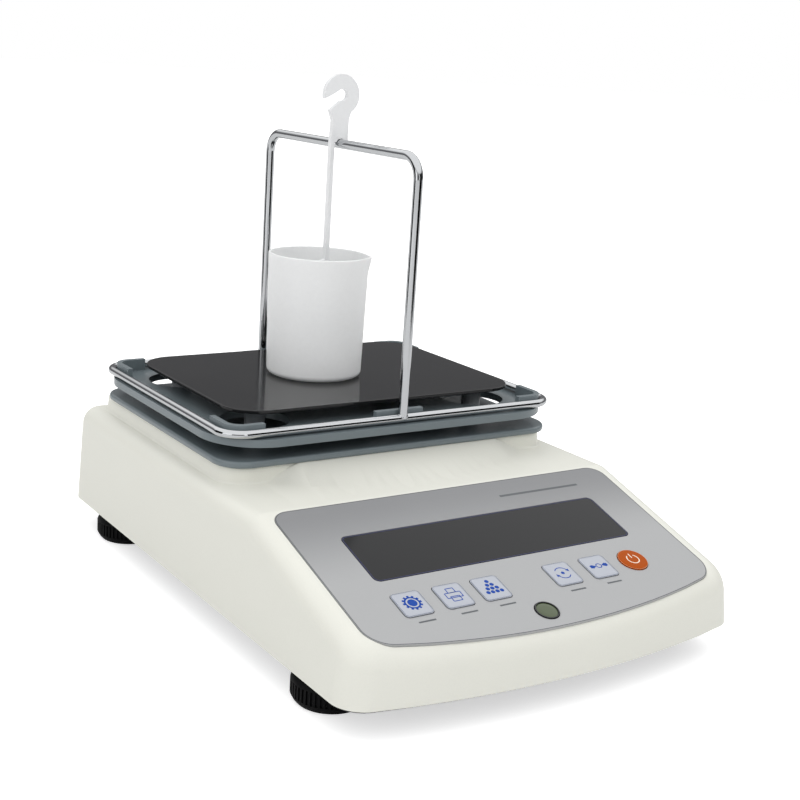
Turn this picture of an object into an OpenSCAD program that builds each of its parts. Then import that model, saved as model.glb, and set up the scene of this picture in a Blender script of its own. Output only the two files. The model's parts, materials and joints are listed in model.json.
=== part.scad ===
// Benchtop density meter: a weighing housing on four levelling feet, with a sloped
// console, a weighing tray that carries a wire frame, and a cup on a fixed table.
// Millimetres. +X right, +Y to the rear, +Z up. The origin is on the bench, under the
// middle of the housing.

/* [Housing] */
// Width of the housing along its lower edge
body_w = 214; // [205:1:235]
// Depth from the middle of the bowed front to the rear wall
body_l = 307.5; // [300:0.5:330]
// Height of the rear deck above the bench
deck_z = 66; // [64:1:76]
// Wall thickness of the housing
wall = 3; // [2.4:0.1:4]
// How much each side wall leans in from its lower edge to the deck
side_lean = 3; // [1:0.5:5]
// How much the front face leans in
front_lean = 1.5; // [0.5:0.5:3]
// Radius of the bow of the front, seen from above
front_bow_r = 450; // [400:10:700]
// Radius of the front corners, seen from above
front_corner_r = 14; // [10:1:20]
// Radius of the rear corners, seen from above
rear_corner_r = 12; // [8:1:20]
// Radius of the rounded edges of deck and console
edge_r = 7; // [3:0.5:7.5]
// Depth of the console, from the middle of the front to the deck
console_depth = 104.9; // [103:0.1:108]
// Slope of the console
console_slope = 16.7; // [14:0.1:18]
// Height of the step in the rear wall
rear_step_z = 53; // [48:1:60]
// Depth of the step in the rear wall
rear_step = 9; // [6:1:12]
// Height of the plinth under the lower tray
plinth_h = 8; // [6:0.5:10]
// Radius of the corners of the plinth
plinth_r = 14; // [12:1:24]
// How far the plinth stays inside the sides
plinth_side = 11.7; // [10:0.1:14]
// Distance from the console to the plinth
plinth_back = 36.85; // [34:0.05:40]
// Length of the ramp in front of the plinth, along its middle
ramp_l = 26; // [20:0.5:30]
// Width of the ramp where it meets the plinth
ramp_w = 160; // [140:1:162]
// Width of the ramp's foot on the deck
ramp_foot_w = 120; // [90:1:130]
// Radius of the bow of the ramp's foot
ramp_bow_r = 160; // [120:5:300]
// Distance of the middle of the trays from the rear step
pan_rear = 82.25; // [80:0.25:84]

/* [Base] */
// Thickness of the flange that carries the cover
flange_t = 2; // [1.5:0.25:3]
// Thickness of the part of the base inside the cover
floor_t = 1.5; // [1:0.25:3]
// How far the flange stays inside the cover's outline
flange_inset = 1.2; // [0.8:0.1:2]
// Diameter of the cover screws
cover_screw_d = 3; // [2.5:0.5:4]
// Clearance between parts that fit into one another
fit_gap = 0.3; // [0.2:0.05:0.5]

/* [Feet] */
// Radius of a foot's knob
knob_r = 17; // [14:0.5:20]
// Height of a foot's knob
knob_h = 13.2; // [11:0.1:16]
// Gap between a knob and the base when the foot is turned fully in
knob_gap = 0.8; // [0.5:0.1:2]
// Distance of the feet from the sides
foot_side = 18; // [18:1:23]
// Distance of the front feet from the middle of the front
foot_front = 53.25; // [50:0.25:58]
// Distance of the rear feet from the rear wall
foot_rear = 39.25; // [34:0.25:44]
// Radius of a foot's threaded stud
stud_r = 4; // [3:0.5:5]
// Length of the stud above the knob
stud_l = 22; // [20:1:24]
// Height of the nut that holds a stud
nut_h = 6; // [4:0.5:8]
// Width of that nut across its flats
nut_w = 13; // [13:0.5:17]

/* [Console] */
// Distance of the console panel from the sides
panel_side = 13; // [11:0.5:17]
// Distance down the slope from the crease to the panel
panel_back = 1.3; // [0.8:0.1:4]
// Length of the panel along its middle
panel_l = 102.8; // [100:0.2:103.2]
// Radius of the bow of the panel's front edge
panel_bow_r = 375; // [350:5:600]
// Thickness of the panel
panel_t = 1.2; // [1:0.1:2]
// How far the panel stands above the console
panel_rise = 0.3; // [0.2:0.05:0.5]
// Width of the display window
window_w = 142.6; // [130:0.2:150]
// Length of the display window down the slope
window_l = 32.2; // [26:0.2:36]
// Distance down the slope from the crease to the window
window_s = 24.6; // [20:0.2:26]
// Ledge that carries the edge of the window
window_ledge = 5; // [3:0.5:7]
// Width of a square key
key_w = 14; // [12:0.5:16]
// Length of a square key down the slope
key_l = 15; // [13:0.5:16]
// Distance down the slope from the crease to the row of keys
key_s = 73.8; // [72:0.2:76]
// Height of a key above the panel
key_rise = 0.8; // [0.5:0.1:1.5]
// Radius of the power key
power_r = 7.2; // [6:0.2:9]
// Distance of the power key from the right side of the panel
power_side = 35.8; // [24:0.2:38]
// Gap between a key and its switch, which is more than the key's travel
switch_gap = 0.7; // [0.6:0.05:0.9]
// Outer radius of the ring round the bubble level
level_r = 5.5; // [5:0.25:7]
// Sideways place of the bubble level
level_x = -7.2; // [-20:0.2:20]
// Distance down the slope from the crease to the bubble level
level_s = 93.4; // [92:0.2:94]
// Depth of the pocket for the bubble level
level_depth = 2; // [1.5:0.1:2.2]

/* [Weighing parts] */
// Length of the load cell
cell_l = 130; // [120:1:140]
// Width of the load cell
cell_w = 30; // [24:1:34]
// Height of the load cell
cell_h = 20; // [18:1:21]
// Height of the block under the load cell
block_h = 10; // [8:0.5:11]
// Length of the load cell's clamped ends
cell_end = 28; // [26:1:32]
// Room above the load cell's free end, so that the pan can move down
flex_gap = 0.6; // [0.4:0.1:0.9]
// Thickness of the bracket on the load cell
bracket_t = 3.5; // [3:0.25:4]
// Radius of the column that carries the weighing tray
column_r = 10; // [8:0.5:11]
// Clearance round the column
column_gap = 3; // [2:0.5:4]
// Gap between the lower tray and the weighing tray
tray_gap = 6.5; // [5.5:0.1:8]
// Thickness of the spider under the weighing tray
spider_t = 3; // [2:0.1:3.5]
// Thickness of the rubber pads on the spider
pad_t = 1.5; // [1:0.1:1.8]

/* [Trays and table] */
// Width of the lower tray
lower_w = 193; // [190:1:198]
// Length of the lower tray
lower_l = 151; // [146:1:158]
// Thickness of the lower tray
lower_t = 3.4; // [2.5:0.1:4]
// Width of the weighing tray
tray_w = 195.6; // [192:0.2:205]
// Length of the weighing tray
tray_l = 156; // [152:1:164]
// Thickness of the weighing tray
tray_t = 3.7; // [3:0.1:5]
// Radius of the weighing tray's corners
tray_r = 29; // [24:1:34]
// Radius of the four holes in the weighing tray
tray_hole_r = 17; // [14:0.5:18]
// Sideways distance of holes and posts from the middle
post_x = 65; // [60:1:68]
// Distance of holes and posts to front and rear of the middle
post_y = 42; // [38:1:44]
// Radius of a post
post_r = 5; // [4:0.5:6]
// Thickness of the clips that hold the ring on the weighing tray
clip_t = 2.8; // [2:0.1:3.5]
// Height of those clips
clip_h = 6.2; // [5:0.1:6.6]
// Width of the front and rear clips
clip_w = 27.5; // [20:0.5:34]
// Width of the table plate
table_w = 167; // [160:1:175]
// Length of the table plate
table_l = 119.6; // [112:0.2:124]
// Radius of the table plate's corners
table_r = 18.5; // [14:0.5:22]
// Thickness of the table plate
table_t = 1.8; // [1.5:0.1:2.5]
// Gap between the weighing tray and the table plate
table_gap = 7.1; // [6.8:0.1:9]

/* [Wire frame] */
// Width of the ring between wire centres
ring_w = 190; // [186:1:192]
// Length of the ring between wire centres
ring_l = 146.8; // [143:0.2:149]
// Radius of the ring's corners at the wire centre
ring_r = 11.6; // [10:0.2:14]
// Diameter of the ring's wire
ring_wire = 4.2; // [3.5:0.1:5]
// Diameter of the arch's wire
arch_wire = 4.8; // [4:0.1:5.6]
// Height of the arch's crossbar above the ring, between wire centres
arch_h = 126.6; // [120:0.2:140]
// Radius of the arch's bends at the wire centre
arch_r = 11; // [8:0.5:16]

/* [Cup and hanger] */
// Sideways place of the cup
cup_x = -7.6; // [-8.4:0.2:-6.8]
// How far the cup stands behind the middle of the tray
cup_back = 1.8; // [0.8:0.2:2.8]
// Outer radius of the cup's rim
cup_rim_r = 26.2; // [25:0.2:30]
// Outer radius of the cup's bottom
cup_base_r = 24.9; // [23.6:0.1:25]
// Height of the cup
cup_h = 63.6; // [58:0.2:66]
// Wall thickness of the cup
cup_wall = 1.4; // [1:0.1:2]
// Width of the cup's spout
spout_w = 11; // [8:0.5:14]
// Thickness of the flat hanger
hanger_t = 3; // [2:0.1:4]
// Radius of the hanger's head
head_r = 10.2; // [9:0.1:11]
// Height of the middle of the head above the crossbar
head_up = 24.5; // [23:0.1:27]
// Width of the hanger's stem
stem_w = 2.2; // [2:0.1:3]
// Height above the bench of the hole at the foot of the stem
stem_hole_z = 154; // [153:0.5:155]
// Radius of the sinker
sinker_r = 6; // [4:0.5:7]
// Length of the sinker's body
sinker_l = 24; // [18:0.5:25]

/* [Hidden] */
$fn = 96;
eps = 0.01;

// Heights of the stack, from the bench up
base_z = knob_h + knob_gap;
cover_z = base_z + flange_t;
floor_z = cover_z + floor_t;
plinth_z = deck_z + plinth_h;
lower_top_z = plinth_z + lower_t;
tray_z = lower_top_z + tray_gap;
tray_top_z = tray_z + tray_t;
ring_z = tray_top_z + fit_gap + ring_wire / 2;
bar_z = ring_z + arch_h;
table_z = tray_top_z + table_gap;
table_top_z = table_z + table_t;
cell_z = floor_z + block_h;
cell_top_z = cell_z + cell_h;
bracket_z = cell_top_z + flex_gap;
arm_z = bracket_z + bracket_t;
column_z = arm_z + bracket_t;
pad_z = tray_z - pad_t;
spider_z = pad_z - spider_t;

// Plan of the housing
body_half = body_w / 2;
front_y = -body_l / 2;
rear_y = body_l / 2;
crease_y = front_y + console_depth;
plinth_front_y = crease_y + plinth_back;
plinth_rear_y = rear_y - rear_step;
pan_y = plinth_rear_y - pan_rear;
top_front_y = front_y + front_lean;

// Console frame: x to the right, s down the slope from the crease, n out of the console. Keys
// are placed from the panel's left and right side
console_l = (crease_y - top_front_y + edge_r * sin(console_slope)) / cos(console_slope);
panel_w = body_w - 2 * panel_side;
panel_front = panel_back + panel_l;
panel_front_r = 12;
panel_rear_r = 6;
panel_gap = 0.2;
recess = panel_t - panel_rise;
window_mid_s = window_s + window_l / 2;
window_r = 3;
left_keys = [30.1, 50.9, 70.7];
right_keys = [77.7, 56.6];
key_x = concat([for (d = left_keys) d - panel_w / 2], [for (d = right_keys) panel_w / 2 - d]);
power_x = panel_w / 2 - power_side;
key_corner_r = 2;
key_flange = 1.2;
key_under = wall + fit_gap + key_flange;
switch_h = 2.5;
switch_n = -key_under - switch_gap;
board_t = 1.6;
display_depth = 5;
boss_r = 3;
screw_bore_gap = 0.2;

display_boss_x = window_w / 2 + boss_r + 2;
display_boss_s = window_l / 2 - boss_r;
keypad_mid_x = (key_x[0] + power_x) / 2;
keypad_w = power_x - key_x[0] + 34;
keypad_l = 24;
keypad_boss_x = keypad_w / 2 - boss_r - 0.5;
keypad_boss_s = keypad_l / 2 - boss_r - 0.5;
level_lip = 0.6;
level_rise = 0.6;

// Rear connectors
connector_side = 62;
connector_x = body_half - connector_side;
connector_z = 36;
connector_w = 66;
connector_h = 18;
connector_t = 1.5;
rear_plate_y = rear_y - wall - connector_t;
socket_x = connector_x + 20;
socket_r = 5;
port_x = connector_x - 12;
port_w = 17;
port_h = 9;

// Main board
main_w = 110;
main_l = 66;
main_side = 14;
main_front = 104.75;
main_at = [main_side + main_w / 2 - body_half, front_y + main_front + main_l / 2];
standoff_h = 6;
main_z = floor_z + standoff_h;

// On the main board: transformer, processor, driver and two plugs, each with its place, width,
// length and height, and a pair of capacitors
transformer = [-46, -20, 26, 30, 16];
processor = [12, -12, 14, 14, 1.6];
driver = [-14, 2, 20, 8, 3];
side_plug = [34, -20, 8, 24, 8];
rear_plug = [-6, 20, 34, 6, 8];
capacitor_r = 5;
capacitor_h = 14;
capacitor_x = [-10, 2];
capacitor_y = -18;

// Feet: places left and right, front and rear, and depth of the bore in a knob
bore_depth = 9;
foot_x = body_half - foot_side;
foot_front_y = front_y + foot_front;
foot_rear_y = rear_y - foot_rear;
foot_at = [[-foot_x, foot_front_y], [foot_x, foot_front_y],
           [-foot_x, foot_rear_y], [foot_x, foot_rear_y]];

// Cover screws, near the middle of the front and rear walls and beside the console
screw_inset = 12;
bow_room = 4;
front_screw_side = 59;
rear_screw_side = 47;
front_screw_x = body_half - front_screw_side;
rear_screw_x = body_half - rear_screw_side;
front_screw_y = front_y + screw_inset + bow_room;
rear_screw_y = plinth_rear_y - screw_inset;
cover_screw_at = [[-front_screw_x, front_screw_y], [front_screw_x, front_screw_y],
                  [-rear_screw_x, rear_screw_y], [rear_screw_x, rear_screw_y]];
cover_boss_r = cover_screw_d / 2 + 3;
cover_screw_l = 16;

// Load cell, along X with its clamped end on the left
cell_x0 = -cell_l / 2;
cell_screw_x = [cell_x0 + cell_end / 4 + 1, cell_x0 + 3 * cell_end / 4 - 1];
cell_screw_r = 3;
cell_screw_in = 10;
cell_head_r = 5;

// Spider under the weighing tray
spider_w = 18;
spider_x = 76;
spider_y = 58;

// Posts of the table, screws of the lower tray and the ring's seat
post_at = [for (x = [-1, 1], y = [-1, 1]) [x * post_x, y * post_y]];
spigot_r = 2.5;
spigot_h = 2;
tray_screw_r = 1.5;
tray_screw_l = 5;
tray_head_t = 1.5;
tray_screw_at = [for (x = [-1, 1], y = [-1, 1]) [x * (lower_w / 2 - 14), y * (lower_l / 2 - 12)]];
ring_gap = fit_gap + max(0, (arch_wire - ring_wire) / 2);

// Cup
cup_floor = 1.6;
cup_edge_r = 3;
spout_angle = -35;
cup_at = [cup_x, pan_y + cup_back];

// Hanger: its saddle lies on the crossbar, and its stem passes beside the bar. The points of
// the head and of the hook's mouth are given to the right of the bar and above head_up
saddle_r = arch_wire / 2 + fit_gap;
stem_right = -saddle_r - 0.8;
stem_left = stem_right - stem_w;
stem_x = (stem_left + stem_right) / 2;
eye_r = 3.5;
eye_hole_r = 1.5;

// Wire loop in the stem's eye, and the glass eye of the sinker in the loop
loop_r = 4;
loop_wire_r = 0.5;
loop_z = stem_hole_z - eye_hole_r + fit_gap + loop_wire_r - loop_r;
glass_eye_r = 2;
glass_wire_r = 0.6;
glass_eye_z = loop_z - loop_r + loop_wire_r + fit_gap + glass_wire_r - glass_eye_r;

// Points of an arc about c from angle a0 to a1
function arc(c, r, a0, a1, steps) =
    [for (i = [0 : steps])
        let (a = a0 + (a1 - a0) * i / steps)
        c + r * [cos(a), sin(a)]];

// Front of an outline: left corner, bow and right corner, drawn "inset" inside
function bowed_front(half_w, y_front, bow, r, inset) =
    let (rf = r - inset, b = bow - inset, cx = half_w - inset - rf, cy = y_front + inset + b,
         fy = cy - sqrt(pow(b - rf, 2) - cx * cx), a = atan2(fy - cy, cx))
    concat(arc([-cx, fy], rf, 180, 180 - a, 6), arc([0, cy], b, 180 - a, 360 + a, 12),
           arc([cx, fy], rf, 360 + a, 360, 6));

// Rear of an outline: right and left corner
function round_rear(half_w, y_rear, r, inset) =
    let (rr = max(r - inset, 1), cx = half_w - inset - rr, cy = y_rear - inset - rr)
    concat(arc([cx, cy], rr, 0, 90, 6), arc([-cx, cy], rr, 90, 180, 6));

function bowed_outline(half_w, y_front, y_rear, bow, r_front, r_rear, inset) =
    concat(round_rear(half_w, y_rear, r_rear, inset), bowed_front(half_w, y_front, bow, r_front, inset));

function cover_outline(inset) =
    bowed_outline(body_half, front_y, rear_y, front_bow_r, front_corner_r, rear_corner_r, inset);

// Rectangle with true round corners, about the origin
module rounded(w, l, r) {
    square([w, l - 2 * r], center = true);
    square([w - 2 * r, l], center = true);
    for (x = [-1, 1], y = [-1, 1])
        translate([x * (w / 2 - r), y * (l / 2 - r)]) circle(r);
}

// Children drawn in the console frame, at x, s and n
module on_console(x = 0, s = 0, n = 0) {
    translate([0, crease_y, deck_z])
        rotate([console_slope, 0, 0])
            translate([x, -s, n])
                children();
}

// Children drawn about the middle of the trays
module at_pan() {
    translate([0, pan_y, 0]) children();
}

// Upright cylinder between two heights
module upright(r, z0, z1) {
    translate([0, 0, z0]) cylinder(r = r, h = z1 - z0);
}

// Upright clearance hole for a screw of radius r
module screw_bore(r, z0, z1) {
    upright(r + screw_bore_gap, z0, z1);
}

// ---- Housing ----

// Thin slice of the deck, "depth" below it and "inset" inside its sides
module deck_slice(depth, inset) {
    half_w = body_half - side_lean;
    end_y = crease_y + depth * tan(console_slope / 2);
    translate([0, 0, deck_z - depth - eps]) linear_extrude(eps)
        polygon(concat([[inset - half_w, end_y], [half_w - inset, end_y]],
                       round_rear(half_w, rear_y, rear_corner_r, inset)));
}

// Thin slice of the console, parallel to it
module console_slice(depth, inset) {
    half_w = body_half - side_lean;
    end_y = -depth * tan(console_slope / 2);
    on_console(0, 0, -depth - eps) linear_extrude(eps)
        polygon(concat([[half_w - inset, end_y], [inset - half_w, end_y]],
                       bowed_front(half_w, -console_l, front_bow_r * cos(console_slope),
                                   front_corner_r + side_lean, inset)));
}

// The housing's outer form, with rounded upper edges
module outer_form() {
    hull() {
        translate([0, 0, cover_z]) linear_extrude(eps) polygon(cover_outline(0));
        for (a = [0, 22.5, 45, 67.5, 90]) {
            deck_slice(edge_r * (1 - sin(a)), edge_r * (1 - cos(a)));
            console_slice(edge_r * (1 - sin(a)), edge_r * (1 - cos(a)));
        }
    }
}

module inner_form() {
    hull() {
        translate([0, 0, cover_z - 1]) linear_extrude(eps) polygon(cover_outline(wall));
        deck_slice(wall, wall);
        console_slice(wall, wall);
    }
}

// Space behind the step in the rear wall; more is how far it is drawn into the housing
module rear_step_cut(more) {
    translate([-body_w, plinth_rear_y - more, rear_step_z - more])
        cube([2 * body_w, 4 * rear_step + more, deck_z]);
}

// Hole for one square key, along Z through whatever it is cut from
module key_hole() {
    linear_extrude(4 * wall, center = true)
        rounded(key_w + 2 * fit_gap, key_l + 2 * fit_gap, key_corner_r + fit_gap);
}

module panel_shape(inset) {
    polygon(bowed_outline(panel_w / 2, -panel_front, -panel_back, panel_bow_r,
                          panel_front_r, panel_rear_r, inset));
}

// Plinth under the lower tray, or with "inset" the hollow under it, which reaches below the deck
module plinth(inset) {
    plinth_w = body_w - 2 * plinth_side;
    plinth_l = plinth_rear_y - plinth_front_y;
    translate([0, plinth_front_y + plinth_l / 2, deck_z - 2 * inset])
        linear_extrude(plinth_h + inset)
            rounded(plinth_w - 2 * inset, plinth_l - 2 * inset, plinth_r - inset);
}

// Ramp from its bowed foot on the deck up to the plinth's front edge
module plinth_ramp() {
    half_a = asin(ramp_foot_w / 2 / ramp_bow_r);
    hull() {
        translate([-ramp_w / 2, plinth_front_y, deck_z])
            cube([ramp_w, wall, plinth_h]);
        translate([0, plinth_front_y - ramp_l + ramp_bow_r, deck_z])
            linear_extrude(eps)
                polygon(arc([0, 0], ramp_bow_r, 270 - half_a, 270 + half_a, 16));
    }
}

// Posts inside the cover, cut to the form of the housing
module cover_bosses() {
    intersection() {
        translate([0, 0, -wall / 2]) {
            outer_form();
            plinth(0);
        }
        for (p = cover_screw_at)
            translate([p.x, p.y, 0])
                upright(cover_boss_r, floor_z, 2 * deck_z);
    }
}

module console_bosses() {
    for (x = [-1, 1], s = [-1, 1]) {
        on_console(x * display_boss_x, window_mid_s + s * display_boss_s, -wall - display_depth)
            cylinder(r = boss_r, h = display_depth + wall / 2);
        on_console(keypad_mid_x + x * keypad_boss_x, key_s + s * keypad_boss_s, switch_n - switch_h)
            cylinder(r = boss_r, h = switch_h + switch_gap + key_flange + fit_gap + wall / 2);
    }
}

module top_cover() {
    color("whitesmoke") {
        difference() {
            union() {
                difference() {
                    union() {
                        outer_form();
                        plinth(0);
                        plinth_ramp();
                    }
                    difference() {
                        union() {
                            inner_form();
                            plinth(wall);
                        }
                        rear_step_cut(wall);
                    }
                    rear_step_cut(0);
                }
                cover_bosses();
                console_bosses();
            }
            // Pan column and the places of the lower tray's screws and posts
            at_pan() upright(column_r + column_gap, deck_z - 2 * wall, plinth_z + 1);
            at_pan()
                for (p = tray_screw_at)
                    translate([p.x, p.y, 0])
                        screw_bore(tray_screw_r, plinth_z - tray_screw_l, plinth_z + 1);
            // Panel recess, display, keys and level
            on_console(0, 0, -recess) linear_extrude(wall) panel_shape(-panel_gap);
            on_console(0, window_mid_s, 0)
                cube([window_w - 2 * window_ledge, window_l - 2 * window_ledge, 4 * wall],
                     center = true);
            for (x = key_x) on_console(x, key_s, 0) key_hole();
            on_console(power_x, key_s, -2 * wall) cylinder(r = power_r + fit_gap, h = 4 * wall);
            on_console(level_x, level_s, -level_depth) cylinder(r = level_r + fit_gap, h = wall);
            // Connectors in the rear wall
            translate([connector_x, rear_y, connector_z])
                cube([connector_w, 4 * wall, connector_h], center = true);
            for (p = cover_screw_at)
                translate([p.x, p.y, 0])
                    screw_bore(cover_screw_d / 2, cover_z - 1, cover_z - 1 + cover_screw_l);
        }
    }
}

module base_plate() {
    color("dimgray") difference() {
        union() {
            translate([0, 0, base_z])
                linear_extrude(flange_t)
                    polygon(cover_outline(flange_inset));
            translate([0, 0, cover_z - eps])
                linear_extrude(floor_t + eps)
                    polygon(cover_outline(wall + fit_gap));
        }
        for (p = foot_at)
            translate([p.x, p.y, 0])
                upright(stud_r + fit_gap, 0, floor_z + 1);
        for (p = cover_screw_at)
            translate([p.x, p.y, 0]) {
                screw_bore(cover_screw_d / 2, 0, floor_z + 1);
                screw_bore(cover_screw_d, 0, base_z + flange_t / 2);
            }
        at_pan()
            for (x = cell_screw_x)
                translate([x, 0, 0]) {
                    screw_bore(cell_screw_r, 0, floor_z + 1);
                    screw_bore(cell_head_r, 0, base_z + flange_t);
                }
    }
}

module cover_screws() {
    color("silver")
        for (p = cover_screw_at)
            translate([p.x, p.y, base_z]) {
                cylinder(r = cover_screw_d, h = flange_t / 2);
                cylinder(r = cover_screw_d / 2, h = cover_screw_l - flange_t);
            }
}

// ---- Rear connectors ----

module rear_plate() {
    color("lightgray") difference() {
        translate([connector_x, rear_plate_y + connector_t / 2, connector_z])
            cube([connector_w + 8, connector_t, connector_h + 6], center = true);
        translate([socket_x, rear_plate_y, connector_z])
            rotate([-90, 0, 0])
                cylinder(r = socket_r + screw_bore_gap, h = 4 * connector_t, center = true);
        translate([port_x, rear_plate_y, connector_z])
            cube([port_w + 2 * screw_bore_gap, 4 * connector_t, port_h + 2 * screw_bore_gap],
                 center = true);
    }
}

// Round socket with a contact pin in its middle, sunk into the rear wall
module power_socket() {
    body_side = 2 * socket_r + 3;
    body_depth = 9;
    bore_l = 5;
    bore_r = socket_r - 1.8;
    pin_r = 1;
    sunk = 0.5;
    color("black") translate([socket_x, rear_plate_y, connector_z]) difference() {
        union() {
            rotate([-90, 0, 0])
                cylinder(r = socket_r, h = connector_t + wall - sunk);
            translate([0, -body_depth / 2, 0])
                cube([body_side, body_depth, body_side], center = true);
        }
        translate([0, -bore_l, 0])
            rotate([-90, 0, 0])
                difference() {
                    cylinder(r = bore_r, h = 4 * bore_l);
                    cylinder(r = pin_r, h = bore_l + connector_t + wall - 2);
                }
    }
}

// Open metal shell on its body
module serial_port() {
    body_depth = 8;
    body_w = port_w + 14;
    body_h = port_h + 4;
    shell_l = 5;
    shell_t = 1;
    color("silver") translate([port_x, rear_plate_y, connector_z]) difference() {
        union() {
            translate([0, shell_l / 2 - 1, 0])
                cube([port_w, shell_l, port_h], center = true);
            translate([0, -body_depth / 2, 0])
                cube([body_w, body_depth, body_h], center = true);
        }
        translate([0, shell_l / 2 + 0.5, 0])
            cube([port_w - 2 * shell_t, shell_l - 1, port_h - 2 * shell_t], center = true);
    }
}

// ---- Console ----

module front_panel() {
    color("silver") on_console(0, 0, -recess) difference() {
        linear_extrude(panel_t) panel_shape(0);
        translate([0, -window_mid_s, 0])
            linear_extrude(4 * panel_t, center = true)
                rounded(window_w + 2 * panel_gap, window_l + 2 * panel_gap, window_r + panel_gap);
        for (x = key_x)
            translate([x, -key_s, 0])
                key_hole();
        translate([power_x, -key_s, -1]) cylinder(r = power_r + fit_gap, h = 4 * panel_t);
        translate([level_x, -level_s, -1]) cylinder(r = level_r + fit_gap, h = 4 * panel_t);
    }
}

module display_window() {
    color("dimgray") on_console(0, window_mid_s, -recess)
        linear_extrude(panel_t) rounded(window_w, window_l, window_r);
}

module display_module() {
    color("gray")
        on_console(0, window_mid_s, -wall - display_depth / 2)
            cube([window_w, window_l - 2, display_depth], center = true);
}

module display_board() {
    board_w = 2 * display_boss_x + 2 * boss_r + 1;
    color("darkgreen")
        on_console(0, window_mid_s, -wall - display_depth - board_t / 2)
            cube([board_w, window_l + 2, board_t], center = true);
}

module keypad_board() {
    color("darkgreen")
        on_console(keypad_mid_x, key_s, switch_n - switch_h - board_t / 2)
            cube([keypad_w, keypad_l, board_t], center = true);
}

module key_switches() {
    switch_w = 6;
    plunger_r = 1.75;
    plunger_h = 1;
    color("black")
        for (x = concat(key_x, [power_x]))
            on_console(x, key_s, switch_n - switch_h) {
                translate([-switch_w / 2, -switch_w / 2, 0])
                    cube([switch_w, switch_w, switch_h - plunger_h]);
                cylinder(r = plunger_r, h = switch_h);
            }
}

module square_key(x) {
    key_h = wall + fit_gap + panel_rise + key_rise;
    color("lightsteelblue") on_console(x, key_s, -wall - fit_gap) {
        linear_extrude(key_h)
            rounded(key_w, key_l, key_corner_r);
        translate([0, 0, -key_flange])
            linear_extrude(key_flange)
                rounded(key_w + 2, key_l + 2, key_corner_r);
    }
}

module menu_key() { square_key(key_x[0]); }
module record_key() { square_key(key_x[1]); }
module start_key() { square_key(key_x[2]); }
module mode_key() { square_key(key_x[3]); }
module zero_key() { square_key(key_x[4]); }

module power_key() {
    color("orangered") on_console(power_x, key_s, -wall - fit_gap) {
        cylinder(r = power_r, h = wall + fit_gap + panel_rise + key_rise);
        translate([0, 0, -key_flange]) cylinder(r = power_r + 1, h = key_flange);
    }
}

module level_ring() {
    color("black") on_console(level_x, level_s, -level_depth) difference() {
        cylinder(r = level_r, h = level_depth + panel_rise + level_rise);
        translate([0, 0, -1]) cylinder(r = level_r - level_lip, h = level_depth + 4);
    }
}

module level_vial() {
    color("yellowgreen") on_console(level_x, level_s, -level_depth)
        cylinder(r = level_r - level_lip - 0.1, h = level_depth + panel_rise + level_rise / 3);
}

// ---- Electronics ----

module main_board() {
    color("darkgreen") translate([main_at.x - main_w / 2, main_at.y - main_l / 2, main_z])
        cube([main_w, main_l, board_t]);
}

module board_parts() {
    color("dimgray") translate([main_at.x, main_at.y, main_z + board_t]) {
        for (b = [transformer, processor, driver, side_plug, rear_plug])
            translate([b[0], b[1], 0])
                cube([b[2], b[3], b[4]]);
        for (x = capacitor_x)
            translate([x, capacitor_y, 0])
                cylinder(r = capacitor_r, h = capacitor_h);
    }
}

module board_standoffs() {
    inset = 5;
    color("silver")
        for (x = [-1, 1], y = [-1, 1])
            translate([main_at.x + x * (main_w / 2 - inset), main_at.y + y * (main_l / 2 - inset), 0])
                upright(boss_r, floor_z, main_z);
}

// ---- Weighing mechanism ----

module load_cell_block() {
    color("gray") at_pan() difference() {
        translate([cell_x0, -cell_w / 2, floor_z])
            cube([cell_end, cell_w, block_h]);
        for (x = cell_screw_x)
            translate([x, 0, 0])
                screw_bore(cell_screw_r, floor_z - 1, cell_z + 1);
    }
}

// Beam with two round openings joined by a slot, so that its free end moves straight down
module load_cell() {
    flex_t = 2.5;
    flex_r = cell_h / 2 - flex_t;
    flex_x = cell_l / 2 - cell_end - flex_r;
    slot_h = 3;
    thread_l = 12;
    color("lightgray") at_pan() difference() {
        translate([cell_x0, -cell_w / 2, cell_z])
            cube([cell_l, cell_w, cell_h]);
        for (x = [-flex_x, flex_x])
            translate([x, 0, cell_z + cell_h / 2])
                rotate([90, 0, 0])
                    cylinder(r = flex_r, h = cell_w + 2, center = true);
        translate([0, 0, cell_z + cell_h / 2])
            cube([2 * flex_x, cell_w + 2, slot_h], center = true);
        for (x = cell_screw_x) {
            translate([x, 0, 0])
                screw_bore(cell_screw_r, cell_z - 1, cell_z + thread_l);
            translate([-x, 0, 0])
                screw_bore(cell_screw_r, cell_top_z - thread_l, cell_top_z + 1);
        }
    }
}

module load_cell_screws() {
    color("silver") at_pan()
        for (x = cell_screw_x)
            translate([x, 0, 0]) {
                upright(cell_head_r, base_z + fit_gap, cover_z);
                upright(cell_screw_r, cover_z - eps, cell_z + cell_screw_in);
            }
}

// Screw under the free end that stops the beam when it is overloaded
module overload_stop() {
    stop_in = 8;
    stop_r = 3;
    stop_gap = 0.8;
    color("silver") at_pan()
        translate([cell_l / 2 - stop_in, 0, 0])
            upright(stop_r, floor_z, cell_z - stop_gap);
}

module pan_bracket() {
    color("lightgray") at_pan() difference() {
        union() {
            translate([cell_l / 2 - cell_end, -cell_w / 2, bracket_z])
                cube([cell_end, cell_w, bracket_t]);
            translate([-column_r - 2, -cell_w / 2, arm_z - eps])
                cube([cell_l / 2 + column_r + 2, cell_w, bracket_t + eps]);
        }
        for (x = cell_screw_x)
            translate([-x, 0, 0])
                screw_bore(cell_screw_r, bracket_z - 1, column_z + 1);
    }
}

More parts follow.
